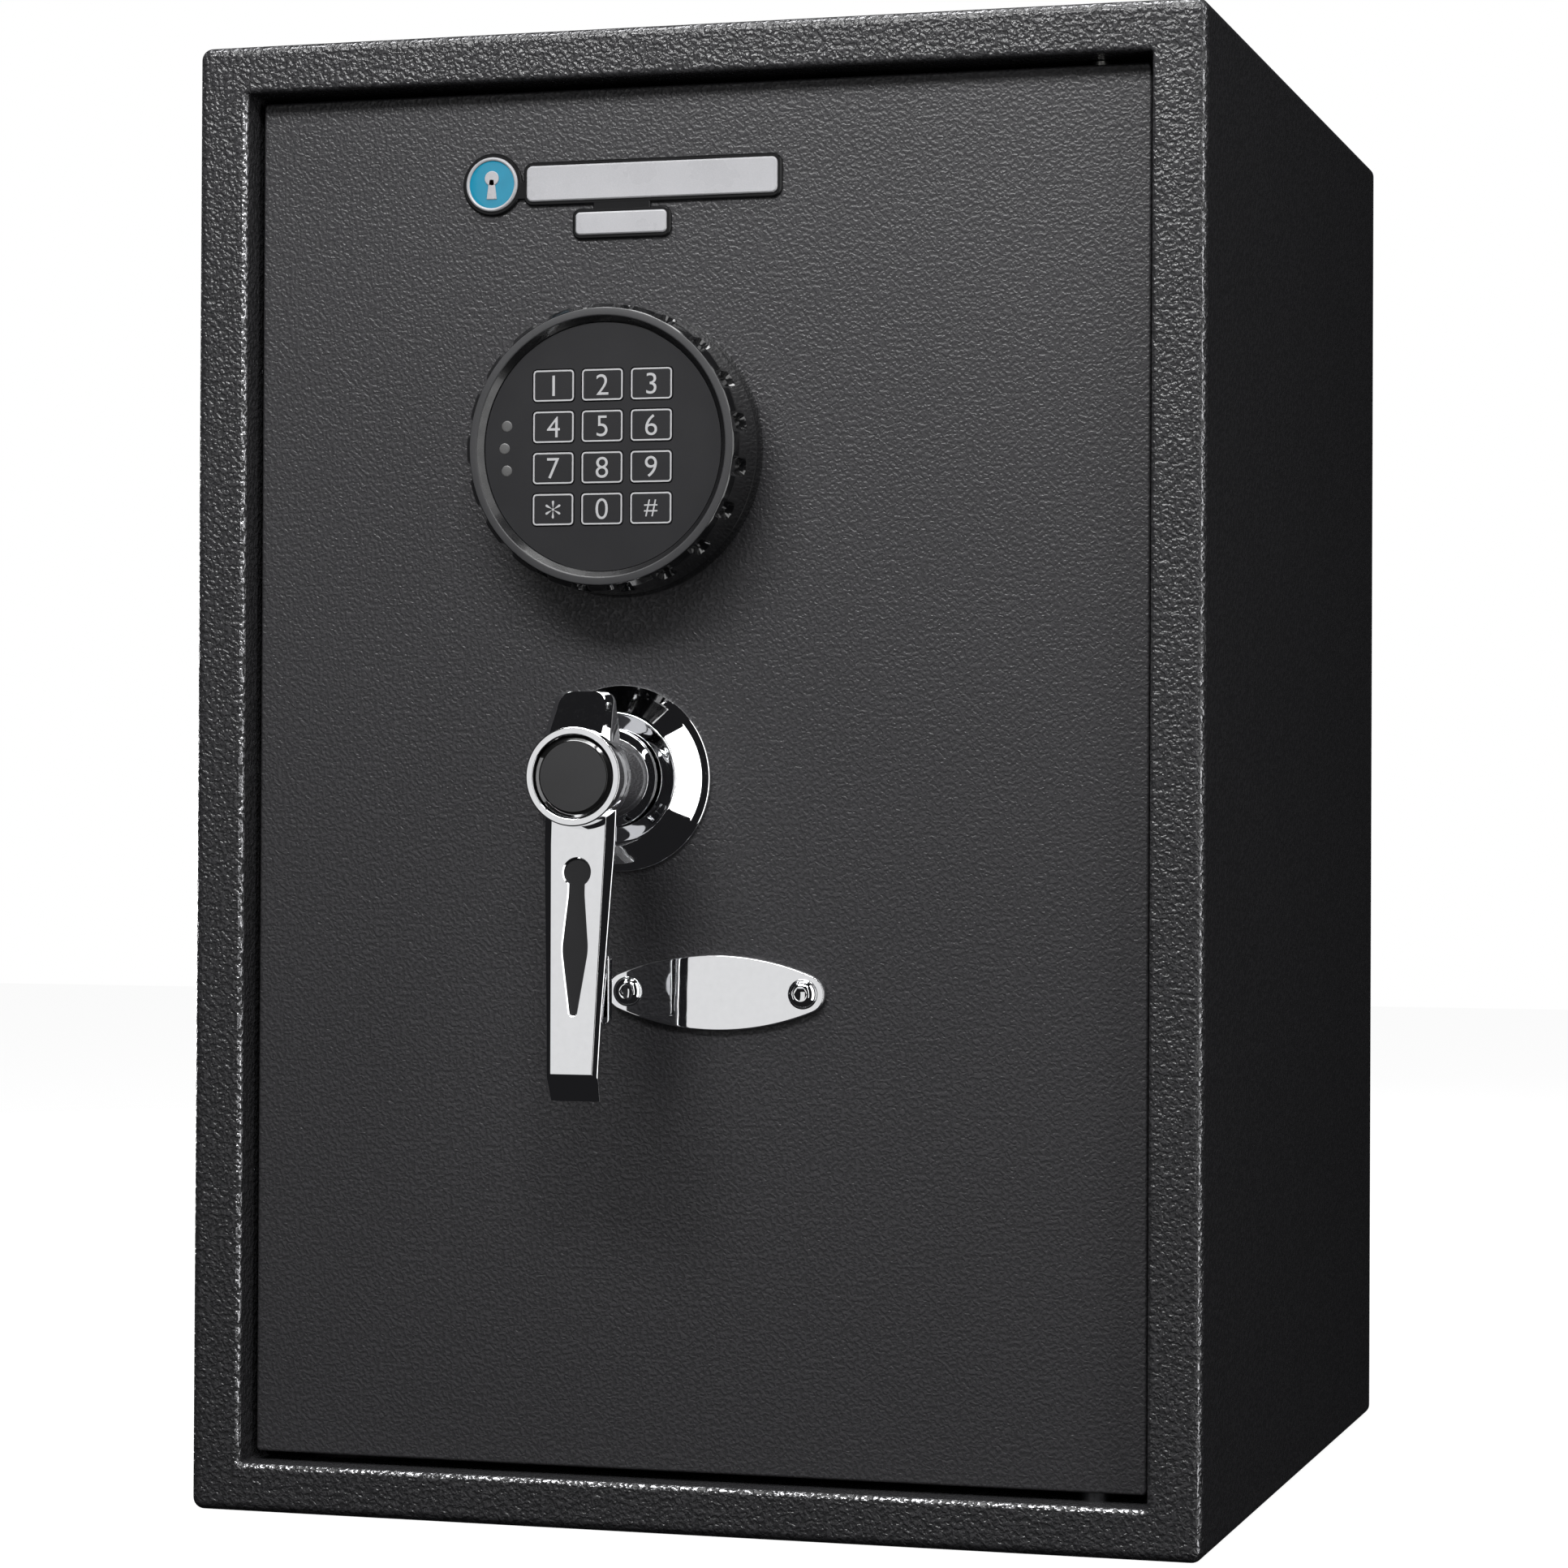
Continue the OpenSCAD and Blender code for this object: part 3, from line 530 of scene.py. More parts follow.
class Shape:
    # a mesh under construction; each part is a closed surface and has its own finish number
    def __init__(self):
        self.points = []
        self.faces = []
        self.finishes = []
        self.count = 0

    def add(self, points, faces, finish=0):
        self.points.append(np.array(points, float).reshape(-1, 3))
        self.faces += [tuple(int(i) + self.count for i in face) for face in faces]
        self.finishes += [finish] * len(faces)
        self.count += len(self.points[-1])
        return self

    def loft(self, rings, finish=0, hoop=False):
        # quads between neighbouring rings; both ends get a cap unless the rings close into a hoop
        rings = np.array(rings, float)
        total, size = rings.shape[:2]
        index = np.arange(total * size).reshape(total, size)
        low = index if hoop else index[:-1]
        high = np.roll(index, -1, 0) if hoop else index[1:]
        quads = np.stack((low, np.roll(low, -1, 1), np.roll(high, -1, 1), high), -1).reshape(-1, 4)
        faces = [tuple(quad) for quad in quads]
        if not hoop:
            faces += [tuple(index[0][::-1]), tuple(index[-1])]
        return self.add(rings.reshape(-1, 3), faces, finish)

    def turned(self, profile, centre, along=(0, -1, 0), steps=96, finish=0, hoop=False):
        return self.loft(turnedRings(profile, centre, along, steps), finish, hoop)

    def slab(self, outline, front, back, ease, finish=0, **more):
        return self.loft(slabRings(outline, front, back, ease, **more), finish)

    def object(self, name, weld=0.002):
        mesh = bpy.data.meshes.new(name)
        mesh.from_pydata((np.vstack(self.points) * metre).tolist(), [], self.faces)
        mesh.polygons.foreach_set("material_index", self.finishes)
        work = bmesh.new()
        work.from_mesh(mesh)
        bmesh.ops.remove_doubles(work, verts=work.verts, dist=weld * metre)
        bmesh.ops.dissolve_degenerate(work, edges=work.edges, dist=weld * metre * 0.5)
        bmesh.ops.recalc_face_normals(work, faces=work.faces)
        work.to_mesh(mesh)
        work.free()
        made = bpy.data.objects.new(name, mesh)
        scene.collection.objects.link(made)
        return made


def applied(thing):
    # the mesh with its modifiers worked in
    bpy.context.view_layer.update()
    graph = bpy.context.evaluated_depsgraph_get()
    mesh = bpy.data.meshes.new_from_object(thing.evaluated_get(graph), depsgraph=graph)
    thing.modifiers.clear()
    old = thing.data
    thing.data = mesh
    bpy.data.meshes.remove(old)
    mesh.name = thing.name
    return thing


def cut(thing, cutterShape, operation="DIFFERENCE"):
    # takes a closed shape out of a piece, or joins it on
    cutter = cutterShape.object(thing.name + "Cutter")
    change = thing.modifiers.new("cut", "BOOLEAN")
    change.operation = operation
    change.solver = "EXACT"
    change.object = cutter
    applied(thing)
    bpy.data.objects.remove(cutter)
    return thing


def finishPiece(thing, body, finishes, replaces, crease=32, evened=True):
    # the list of finishes is empty where the mesh already has them
    for finish in finishes:
        thing.data.materials.append(finish)
    thing.data.polygons.foreach_set("use_smooth", [True] * len(thing.data.polygons))
    thing.data.set_sharp_from_angle(angle=math.radians(crease))
    if evened:
        even = thing.modifiers.new("evenNormals", "WEIGHTED_NORMAL")
        even.keep_sharp = True
        even.weight = 100
    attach(thing, body)
    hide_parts(*replaces)
    return thing


# Cabinet

cabinetSet = dict(
    edge=3.5, corner=4, openingEdge=1.6, openingCorner=1.0, sheet=2, jambEdge=0.8, sideRoom=2, endRoom=3,
    # the faces of a ring that run down its left side and along its foot
    leftAndSill=slice(17, 27),
    seamDepth=0.45, seamHalf=0.7, backEdge=1.2, anchorRadius=5.5, anchorSpread=100, anchorHeight=300,
)


def makeCabinet(s):
    low, high, mid = boxOf("body_wrap")
    front, jambBack = (corner[1] for corner in boxOf("front_frame")[:2])
    back = boxOf("back_panel")[1][1]
    halfWidth, halfHeight = (high[0] - low[0]) / 2, (high[2] - low[2]) / 2
    # insets of the opening, which is a little larger than the door
    sideGap, endGap = doorLow[0] - low[0] - s["sideRoom"], doorLow[2] - s["endRoom"]
    quarter = np.radians(np.linspace(0, 90, 9))
    seam = back - s["sheet"]
    # each ring: inset at the sides, inset at the ends, corner radius, depth
    path = [(s["backEdge"], s["backEdge"], s["corner"] - s["backEdge"], back)]
    path += [(i, i, s["corner"] - i, y) for i, y in (
        (s["backEdge"] * (1 - math.sin(a)), back - s["backEdge"] * (1 - math.cos(a))) for a in quarter[2::2])]
    path += [(d, d, s["corner"] - d, seam + y) for d, y in (
        (0, s["seamHalf"]), (s["seamDepth"], 0), (0, -s["seamHalf"]))]
    path += [(0, 0, s["corner"], y) for y in np.linspace(seam - 3, front + s["edge"] + 0.4, 5)]
    outerEdge = len(path)
    path += [(i, i, s["corner"] - i, y) for i, y in (
        (s["edge"] * (1 - math.cos(a)), front + s["edge"] * (1 - math.sin(a))) for a in quarter)]
    rim = s["openingEdge"]
    path += [(sideGap - 3, endGap - 3, s["openingCorner"] + 1.5, front)]
    openingEdge = len(path)
    path += [(sideGap - i, endGap - i, s["openingCorner"] + i, y) for i, y in (
        (rim * (1 - math.sin(a)), front + rim * (1 - math.cos(a))) for a in quarter[::2])]
    path += [(sideGap, endGap, s["openingCorner"], y) for y in (front + 6, jambBack - 4)]
    lipEdge = s["jambEdge"]
    path += [(sideGap - i, endGap - i, s["openingCorner"] + i, y) for i, y in (
        (lipEdge * (1 - math.cos(a)), jambBack - lipEdge * (1 - math.sin(a))) for a in quarter[::2])]
    thick = s["sheet"]
    inner = s["openingCorner"] + thick
    path += [(sideGap - thick, endGap - thick, inner, y) for y in (jambBack, jambBack - 3, front + thick + 2)]
    path += [(sideGap - thick - 2, endGap - thick - 2, inner, front + thick)]
    path += [(i, i, s["corner"] - 2, y) for i, y in (
        (thick + 2, front + thick), (thick, front + thick + 2), (thick, front + 40), (thick, back - 40),
        (thick, seam - 2.5), (thick + 0.6, seam - 0.8), (thick + 2.5, seam))]
    rings = []
    for sideInset, endInset, radius, y in path:
        outline = roundedRectangle(halfWidth - sideInset, halfHeight - endInset, max(radius, 0.3), steps=8)
        rings.append(ringAt(outline, y, (0, mid[2])))
    shape = Shape().loft(rings)
    # painted highlight on the outer edge, and on the opening's left side and sill: faces there take a
    # lighter, metallic copy of the coat
    glints = np.zeros((len(path) - 1, len(rings[0])), int)
    glints[outerEdge + 3:outerEdge + 5] = 2
    glints[openingEdge:openingEdge + 4, s["leftAndSill"]] = 1
    shape.finishes = glints.ravel().tolist() + [0, 0]
    body = shape.object("cabinet_body")
    body.data.materials.append(paint)
    body.data.materials.append(openingGlintPaint)
    body.data.materials.append(outerEdgeGlintPaint)
    drills = Shape()
    hole = [(0, -4), (s["anchorRadius"], -4), (s["anchorRadius"], 6), (0, 6)]
    for x in (-s["anchorSpread"], s["anchorSpread"]):
        drills.turned(hole, (x, 0, 0), (0, 0, 1), 48)
        drills.turned(hole, (x, back, s["anchorHeight"]), (0, -1, 0), 48)
    cut(body, drills)
    return finishPiece(body, "cabinet", [], ["body_wrap", "front_frame", "back_panel"])


makeCabinet(cabinetSet)
print("cabinet made")

# Door

doorSet = dict(edge=0.9, corner=1.5, panEdge=2.6, panCorner=3, flange=14, wall=2, boltHole=11.2)


def makeDoorPlate(s):
    outline = roundedRectangle((doorHigh[0] - doorLow[0]) / 2, (doorHigh[2] - doorLow[2]) / 2, s["corner"])
    shape = Shape().slab(outline, doorLow[1], doorHigh[1], s["edge"], steps=5, centre=(0, doorMid[2]))
    return finishPiece(shape.object("door_face"), "door", [doorPaint], ["door_plate"])


def makeDoorPan(s):
    low, high = boxOf("door_pan")[:2]
    cover = boxOf("door_cover")
    halfWidth = (high[0] - low[0]) / 2
    halfHeight = (cover[1][2] - cover[0][2]) / 2 + 1
    quarter = np.radians(np.linspace(0, 90, 6))
    bend = s["panEdge"]
    path = [(0, y) for y in (doorHigh[1] - 0.2, high[1] - 20, high[1] - bend - 0.3)]
    path += [(bend * (1 - math.cos(a)), high[1] - bend * (1 - math.sin(a))) for a in quarter]
    flange, wall = s["flange"], s["wall"]
    path += [(flange - 0.4, high[1]), (flange, high[1] - 0.4), (flange, high[1] - wall)]
    path += [(wall + 1, high[1] - wall), (wall, high[1] - wall - 1), (wall, doorHigh[1] - 0.2)]
    rings = [
        ringAt(roundedRectangle(halfWidth - inset, halfHeight - inset, max(s["panCorner"] - inset, 0.4)),
               y, (0, cover[2][2])) for inset, y in path
    ]
    pan = Shape().loft(rings, hoop=True).object("door_pan_shell")
    bolts = boxOf("locking_bolts")
    radius = (bolts[1][1] - bolts[0][1]) / 2
    heights = np.array([bolts[0][2] + radius, bolts[2][2], bolts[1][2] - radius])
    holes = Shape()
    for z in heights:
        holes.turned([(0, -3), (s["boltHole"], -3), (s["boltHole"], 6), (0, 6)],
                     (low[0], bolts[2][1], z), (1, 0, 0), 64)
    cut(pan, holes)
    return finishPiece(pan, "door", [doorPaint], ["door_pan"])


makeDoorPlate(doorSet)
makeDoorPan(doorSet)
print("door made")

# Trim round the handle

roseSet = dict(
    profile=[(8, 0), (31.2, 0), (31.2, 1.3), (28.6, 3.2), (22.4, 9.6), (21.8, 10.3), (20.5, 10.2),
             (8, 10.0)],
    soft=[0, 0.2, 0.5, 0.4, 0.5, 0.3, 1.5, 0],
)
handleMid = boxOf("rose")[2]
handleAxis = (handleMid[0], faceY, handleMid[2])


def makeRose(s):
    ring = softened(s["profile"], s["soft"], 5, closed=True)
    rose = Shape().turned(ring, handleAxis, steps=160, hoop=True).object("handle_rose")
    return finishPiece(rose, "door", [chromeRose], ["rose"], crease=50)


makeRose(roseSet)

leverSet = dict(
    neck=[(0, 12.3), (16.4, 12.3), (16.4, 12.9), (16.0, 13.4), (12.7, 31), (14.9, 36.6), (16.1, 39),
          (16.1, 50.4), (13.7, 50.4), (13.7, 47.3), (0, 47.3)],
    neckSoft=[0, 0.2, 0.3, 0.4, 1.0, 0.8, 0.8, 0.5, 0.3, 0.2, 0],
    # side view of the arm: (height over the axis, height over the door)
    front=[(10, 42), (-22, 45), (-96.8, 50.4), (-104.9, 47.3)], frontSoft=[0, 0, 0.9, 0],
    back=[(-105, 42.8), (-104, 42.8), (-22, 37), (10, 36.5)],
    # half widths of the front face and of the widest line behind it, down the arm
    faceHalf=[(-105, 6.4), (-96.8, 7.2), (-22, 9.3), (10, 9.6)],
    wideHalf=[(-105, 8.5), (-96.8, 8.9), (-80, 9.4), (-22, 12.2), (10, 12.5)],
    shoulder=0.72, arch=1.1, boss=((0.2, -69), (8.1, 12.2), 2.5, (37.2, 33.5)),
    # the slot from above: (height over the axis, radius) of its head, then (half width, height) downwards
    slotHead=(-30.9, 4.85), slotNeck=(2.9, -38), slotWide=(4.65, -56), slotTail=(1.6, -76),
    # its floor, the foot of its bevel, and how far each is drawn in
    slotDepth=1.4, slotFoot=0.4, slotRim=0.36, slotRimInset=0.31,
)


def armSection(face, wide, frontH, backH, shoulder):
    # a flat front, a sloping shoulder on each side, straight sides and a rounded back
    corners = [(face, frontH), (wide, frontH - shoulder), (wide - 1.6, backH), (1.6 - wide, backH),
               (-wide, frontH - shoulder), (-face, frontH)]
    return softened(corners, [0.3, 0.45, 1.2, 1.2, 0.45, 0.3], 4, closed=True)


def makeArm(s):
    line = softened(s["front"], s["frontSoft"], 6)
    steps = np.linspace(-24, -95, 30)
    stations = np.unique(np.concatenate((line[:, 0], steps, np.linspace(-98, -104.9, 5))))[::-1]
    ahead = line[::-1]
    rings = []
    for z in stations:
        frontH = np.interp(z, ahead[:, 0], ahead[:, 1])
        backH = np.interp(z, *np.array(s["back"]).T)
        face, wide = (np.interp(z, *np.array(s[key]).T) for key in ("faceHalf", "wideHalf"))
        x, height = armSection(face, wide, frontH, backH, s["shoulder"] * (wide - face)).T
        # the lower edge of the face is a shallow arch: points near the middle are lifted
        lift = s["arch"] * (1 - (x / wide) ** 2) * np.clip(1 - abs(z + 97.5) / 7.4, 0, 1)
        rings.append(np.column_stack((handleAxis[0] + x, faceY - height, handleAxis[2] + z + lift)))
    return rings


stubSet = dict(
    front=[(4, 48), (13.5, 47.9), (27.8, 39.4)], back=[(4, 36), (20, 36), (26.8, 37.2), (27.8, 38.2)],
    half=[(4, 12.0), (16, 11.2), (22.8, 10.4), (28, 10.2)], top=27.8, corner=3.6, shoulder=2.6,
    shoulderDrop=2.45,
)


def makeStub(s):
    quarter = np.radians(np.linspace(0, 90, 9))
    stations = np.concatenate((np.linspace(4, 22, 10), s["top"] - s["corner"] * (1 - np.sin(quarter))))
    line = softened(s["front"], [0, 1, 0], 5)
    rings = []
    for z in stations:
        frontH = np.interp(z, line[:, 0], line[:, 1])
        backH = min(np.interp(z, *np.array(s["back"]).T), frontH - 0.9)
        half = np.interp(z, *np.array(s["half"]).T)
        rise = max(0, z - (s["top"] - s["corner"]))
        half -= s["corner"] - math.sqrt(max(0, s["corner"] ** 2 - rise ** 2))
        face, drop = half - s["shoulder"], min(s["shoulderDrop"], (frontH - backH) * 0.6)
        corners = [(face, frontH), (half, frontH - drop), (half, backH), (-half, backH),
                   (-half, frontH - drop), (-face, frontH)]
        x, height = softened(corners, [0.4, 0.5, 0.8, 0.8, 0.5, 0.4], 3, closed=True).T
        rings.append(np.column_stack((handleAxis[0] + x, faceY - height, np.full(len(x), handleAxis[2] + z))))
    return rings


def slotOutline(s):
    # round head over a long spear with a rounded end, anticlockwise
    headZ, headR = s["slotHead"]
    (neck, neckZ), (wide, wideZ), (tail, tailZ) = s["slotNeck"], s["slotWide"], s["slotTail"]
    start = math.degrees(math.asin(neck / headR))
    arc = np.radians(np.linspace(-90 + start, 270 - start, 33))
    head = np.column_stack((headR * np.cos(arc), headZ + headR * np.sin(arc)))
    end = np.radians(np.linspace(180, 360, 13))
    foot = np.column_stack((tail * np.cos(end), tailZ + tail * np.sin(end)))
    left = softened([head[-1], (-neck, neckZ), (-wide, wideZ), foot[0]], [0, 1.2, 2.5, 0], 6)
    right = left[::-1] * (-1, 1)
    return np.vstack((head, left[1:-1], foot, right[1:-1]))


def slotRings(s, depths):
    # the slot's outline laid parallel to the arm's front face; each ring is (depth below the face, growth)
    outline = slotOutline(s)
    (z0, h0), (z1, h1) = s["front"][1:3]
    slope = (h1 - h0) / (z1 - z0)
    rings = []
    for depth, growth in depths:
        x, z = shrunk(outline, -growth).T
        height = h0 + (z - z0) * slope - depth
        rings.append(np.column_stack((handleAxis[0] + x, faceY - height, handleAxis[2] + z)))
    return rings


def makeLever(s):
    lever = Shape().loft(makeArm(s)).object("lever_arm")
    cutter = [(s["slotDepth"], -s["slotFoot"]), (s["slotRim"], -s["slotRimInset"]), (0, 0.05), (-1.5, 0.05)]
    cut(lever, Shape().loft(slotRings(s, cutter)))
    place, half, radius, reach = s["boss"]
    boss = Shape().slab(roundedRectangle(*half, radius), faceY - reach[0], faceY - reach[1], 0.5,
                        centre=(handleAxis[0] + place[0], handleAxis[2] + place[1]))
    cut(lever, boss, "UNION")
    hub = Shape().turned(softened(s["neck"], s["neckSoft"], 5), handleAxis, steps=128)
    cut(lever, Shape().loft(makeStub(stubSet)), "UNION")
    cut(lever, hub, "UNION")
    return finishPiece(lever, "handle", [chrome], ["lever_handle"], crease=34)


def makeInlay(s):
    foot = s["slotFoot"]
    rings = slotRings(s, [(s["slotDepth"] + 0.15, -foot), (1.05, 0.05 - foot), (0.95, -foot - 0.1)])
    inlay = Shape().loft(rings).object("lever_inlay")
    return finishPiece(inlay, "handle", [inlaySatin], ["handle_inlay"])


capSet = dict(
    # reach is the height of the hub's front over the door; each point is (radius, depth below it)
    reach=50.4, bevel=[(0, 3.1), (13.6, 3.1), (13.6, 1.8), (11.6, 0.75)],
    face=[(11.6, 0.75), (11.3, 0.68), (8, 0.62), (0, 0.6)],
)


def makeCap(s):
    bevel, face = ([(radius, s["reach"] - depth) for radius, depth in s[key]] for key in ("bevel", "face"))
    cap = Shape()
    ring = turnedRings(softened(bevel + face[1:2], [0, 0.1, 0.5, 0.2, 0], 4), handleAxis, steps=96)
    dome = turnedRings(face[1:], handleAxis, steps=96)
    for rings, finish in ((ring, 0), (dome, 1)):
        total, size = rings.shape[:2]
        index = np.arange(total * size).reshape(total, size)
        quads = np.stack((index[:-1], np.roll(index[:-1], -1, 1), np.roll(index[1:], -1, 1), index[1:]), -1)
        cap.add(rings.reshape(-1, 3), [tuple(quad) for quad in quads.reshape(-1, 4)], finish)
    made = cap.object("lever_cap")
    return finishPiece(made, "handle", [capGloss, capSatin], ["handle_cap"], crease=25)


makeLever(leverSet)
makeInlay(leverSet)
makeCap(capSet)
print("handle made")

# Emergency lock cover

coverSet = dict(
    halfLength=37.8, halfHeight=12.6, endRadius=6.5,
    edge=[(0.2, 0.8), (0, 1.0), (0, 1.7), (0.35, 2.4), (0.7, 2.4)], edgeSoft=[0, 0.1, 0.2, 0.15, 0],
    screwHead=[(0, 2.2), (5, 2.2), (5, 2.9), (4.7, 3.6), (3.7, 4.55), (2.6, 5.0), (0, 5.0)],
    screwSoft=[0, 0, 0.3, 0.8, 0.9, 0.4, 0], hexRadius=2.25, hexDepth=1.7,
)


def pointedOval(halfLength, halfHeight, endRadius, steps=24):
    # two large arcs that run into a small arc at each end, anticlockwise from the right-hand tip
    centre = halfLength - endRadius
    big = (centre ** 2 + halfHeight ** 2 - endRadius ** 2) / (2 * (halfHeight - endRadius))
    rise = big - halfHeight
    lean = math.atan2(centre, rise)
    a = lean * np.linspace(1, -1, 2 * steps + 1)
    top = np.column_stack((big * np.sin(a), big * np.cos(a) - rise))
    b = (math.pi / 2 - lean) * np.linspace(-1, 1, steps // 2 + 1)[1:-1]
    tip = np.column_stack((centre + endRadius * np.cos(b), endRadius * np.sin(b)))
    return np.vstack((tip, top, -tip, -top))


def bandRings(outline, path, centre):
    # rings of a front view outline; path is (inset, height over the door)
    return [ringAt(shrunk(outline, inset), faceY - height, centre) for inset, height in path]


def makeLockCover(s):
    middle = boxOf("keyhole_plate")[2]
    outline = pointedOval(s["halfLength"], s["halfHeight"], s["endRadius"])
    path = softened(s["edge"], s["edgeSoft"], 4)
    plate = Shape().loft(bandRings(outline, path, (middle[0], middle[2])))
    plate = plate.object("lock_cover_plate")
    finishPiece(plate, "door", [chrome], ["keyhole_plate"], crease=40)
    low, high, screwMid = boxOf("plate_screws")
    heads = Shape()
    sockets = Shape()
    for x in (low[0] + 5, high[0] - 5):
        centre = (x, faceY, screwMid[2])
        heads.turned(softened(s["screwHead"], s["screwSoft"], 4), centre, steps=64)
        heads.turned([(0, -3.9), (2.4, -3.9), (2.4, 2.4), (0, 2.4)], centre, steps=24)
        top = s["screwHead"][-1][1]
        sockets.turned([(0, top - s["hexDepth"] - 0.5), (s["hexRadius"], top - s["hexDepth"]),
                        (s["hexRadius"], top + 1), (0, top + 1)], centre, steps=6)
    screws = cut(heads.object("lock_cover_screws"), sockets)
    finishPiece(screws, "door", [chrome], ["plate_screws"], crease=40)


makeLockCover(coverSet)

# Badge: a roundel and two bars on a dark backing, with no lettering

badgeSet = dict(
    grow=1.4, lowest=14.2, roundel=9.2, enamel=8.0, roundelPlace=(-47, 5.4),
    bars=[((9.5, 5), (44, 6), 2), ((-1, -9), (16, 3.8), 1.5)],
    bridges=[((-36, 3), (4, 3)), ((-1, -3), (10, 3))],
)


def makeBadge(s):
    centre = np.array((handleAxis[0], boxOf("badge_plate")[0][2] + s["lowest"]))
    backing = Shape()
    disc = centre + s["roundelPlace"]
    edge = softened([(0.2, 0), (0, 0.2), (0, 0.8), (0.5, 1.2)], [0, 0.1, 0.2, 0])
    backing.loft(bandRings(circle(s["roundel"] + s["grow"], 96), edge, disc))
    for place, half, radius in s["bars"]:
        outline = roundedRectangle(half[0] + s["grow"], half[1] + s["grow"], radius + s["grow"])
        backing.loft(bandRings(outline, edge, centre + place))
    for place, half in s["bridges"]:
        outline = roundedRectangle(half[0], half[1], 0.4)
        backing.loft(bandRings(outline, [(0.1, 0), (0, 0.1), (0, 0.9), (0.3, 1.15)], centre + place))
    finishPiece(backing.object("badge_backing"), "door", [badgeBlack], ["badge_plate"])
    emblem = Shape()
    rise = softened([(0, 1.15), (0, 1.6), (0.45, 2.0), (0.6, 2.0)], [0, 0.1, 0.15, 0], 3)
    for place, half, radius in s["bars"]:
        emblem.loft(bandRings(roundedRectangle(*half, radius), rise, centre + place))
    inner, outer = s["enamel"], s["roundel"]
    rim = [(inner, 1.2), (inner, 1.75), (inner + 0.5, 2.0), (outer - 0.5, 2.0), (outer, 1.6), (outer, 1.2)]
    axis = (disc[0], faceY, disc[1])
    ring = softened(rim, [0, 0.2, 0.3, 0.3, 0.2, 0], 3, closed=True)
    emblem.turned(ring, axis, steps=96, hoop=True)
    pool = [(0, 1.1), (inner + 0.1, 1.1), (inner + 0.1, 1.45), (7, 1.58), (0, 1.64)]
    emblem.turned(pool, axis, steps=96, finish=1)
    # the keyhole: a disc over a wedge
    button = [(0, 1.3), (2.5, 1.3), (2.5, 1.8), (2.3, 1.95), (0, 1.95)]
    emblem.turned(button, (disc[0], faceY, disc[1] + 2), steps=48)
    wedge = np.array([(-0.9, 1.8), (-1.8, -5), (1.8, -5), (0.9, 1.8)])
    emblem.loft(bandRings(wedge, [(0, 1.3), (0, 1.8), (0.25, 1.95)], disc))
    finishPiece(emblem.object("badge_emblem_relief"), "door", [badgeSilver, tealEnamel],
                ["badge_emblem"])


makeBadge(badgeSet)
print("trim made")

# Keypad

padMid = boxOf("keypad_base")[2]
padAxis = (padMid[0], faceY, padMid[2])
padSet = dict(
    rim=46, height=25, face=41, faceHeight=22.5, skirt=48.6, baseHeight=6,
    lugs=20, lugSamples=20, notchHalf=2.8, notchEnd=18.0, notchBlur=0.35,
)


def makePadBase(s):
    skirt, top = s["skirt"], s["baseHeight"]
    profile = [(6, 0), (skirt, 0), (skirt, 2), (skirt - 0.6, top), (41, top), (41, 3), (6, 3)]
    ring = softened(profile, [0, 0.2, 0.8, 0.9, 0, 0, 0], 5, closed=True)
    shape = Shape().turned(ring, padAxis, steps=144, hoop=True)
    finishPiece(shape.object("keypad_skirt"), "door", [keypadGloss], ["keypad_base"])


def makePadHousing(s):
    rim, top = s["rim"], s["height"]
    foot, deck = s["baseHeight"], s["faceHeight"]
    side = [(rim + 2.0, foot), (rim + 1.75, 14), (rim + 1.5, top - 2.4), (rim - 0.1, top - 0.4),
            (rim - 0.6, top)]
    outer = softened(side, [0, 0, 0.4, 0.3, 0], 4)
    # extra rings round the closed end of the notches
    extra = np.linspace(foot + 1.5, top - 3.6, 26)
    wall = [(np.interp(h, outer[:, 1], outer[:, 0]), h) for h in extra]
    outer = np.array(sorted([tuple(p) for p in outer] + wall, key=lambda p: (p[1], -p[0])))
    inside = [(rim - 0.6, top), (s["face"] + 2.2, top), (s["face"] + 0.15, deck + 0.15),
              (s["face"] + 0.15, deck - 2.2), (rim - 7, deck - 2.2), (rim - 7, deck - 3.5),
              (rim - 4.5, deck - 3.5), (rim - 4.5, foot)]
    inner = softened(inside, [0, 0.35, 0.3, 0, 0, 0, 0, 0], 4)
    steps = s["lugs"] * s["lugSamples"]
    across = (np.arange(steps) % s["lugSamples"]) / s["lugSamples"] - 0.5
    arc = across * 2 * math.pi * (rim + 1.5) / s["lugs"]
    # a notch is a slot of half width notchHalf that runs off the front, with a half-round end
    height = outer[:, 1][:, None]
    off = np.hypot(arc[None], np.minimum(height - s["notchEnd"], 0)) - s["notchHalf"]
    share = np.clip(0.5 - off / (2 * s["notchBlur"]), 0, 1)
    share = share * share * (3 - 2 * share)
    depth = np.maximum(outer[:, 0][:, None] - (rim - 0.15), 0) * share
    angle = np.linspace(0, 2 * math.pi, steps, endpoint=False)
    radius = np.vstack((outer[:, 0][:, None] - depth, np.repeat(inner[1:, 0][:, None], steps, 1)))
    level = np.concatenate((outer[:, 1], inner[1:, 1]))[:, None] + 0 * angle
    right, up = radius * np.cos(angle), radius * np.sin(angle)
    rings = np.stack((padAxis[0] + right, faceY - level, padAxis[2] + up), -1)
    body = Shape().loft(rings, hoop=True)
    # satin on the front rim, a slope of its own, and gloss on the sides
    rows = np.arange(len(rings))
    satin = (rows >= len(outer) - 2) & (rows < len(outer) + 3)
    slope = (rows >= len(outer) + 3) & (rows < len(outer) + 9)
    body.finishes = np.repeat(np.where(satin, 1, np.where(slope, 2, 0)), steps).tolist()
    finishPiece(body.object("keypad_bezel"), "door", [keypadGloss, rimSatin, slopeGloss],
                ["keypad_housing"], crease=40)


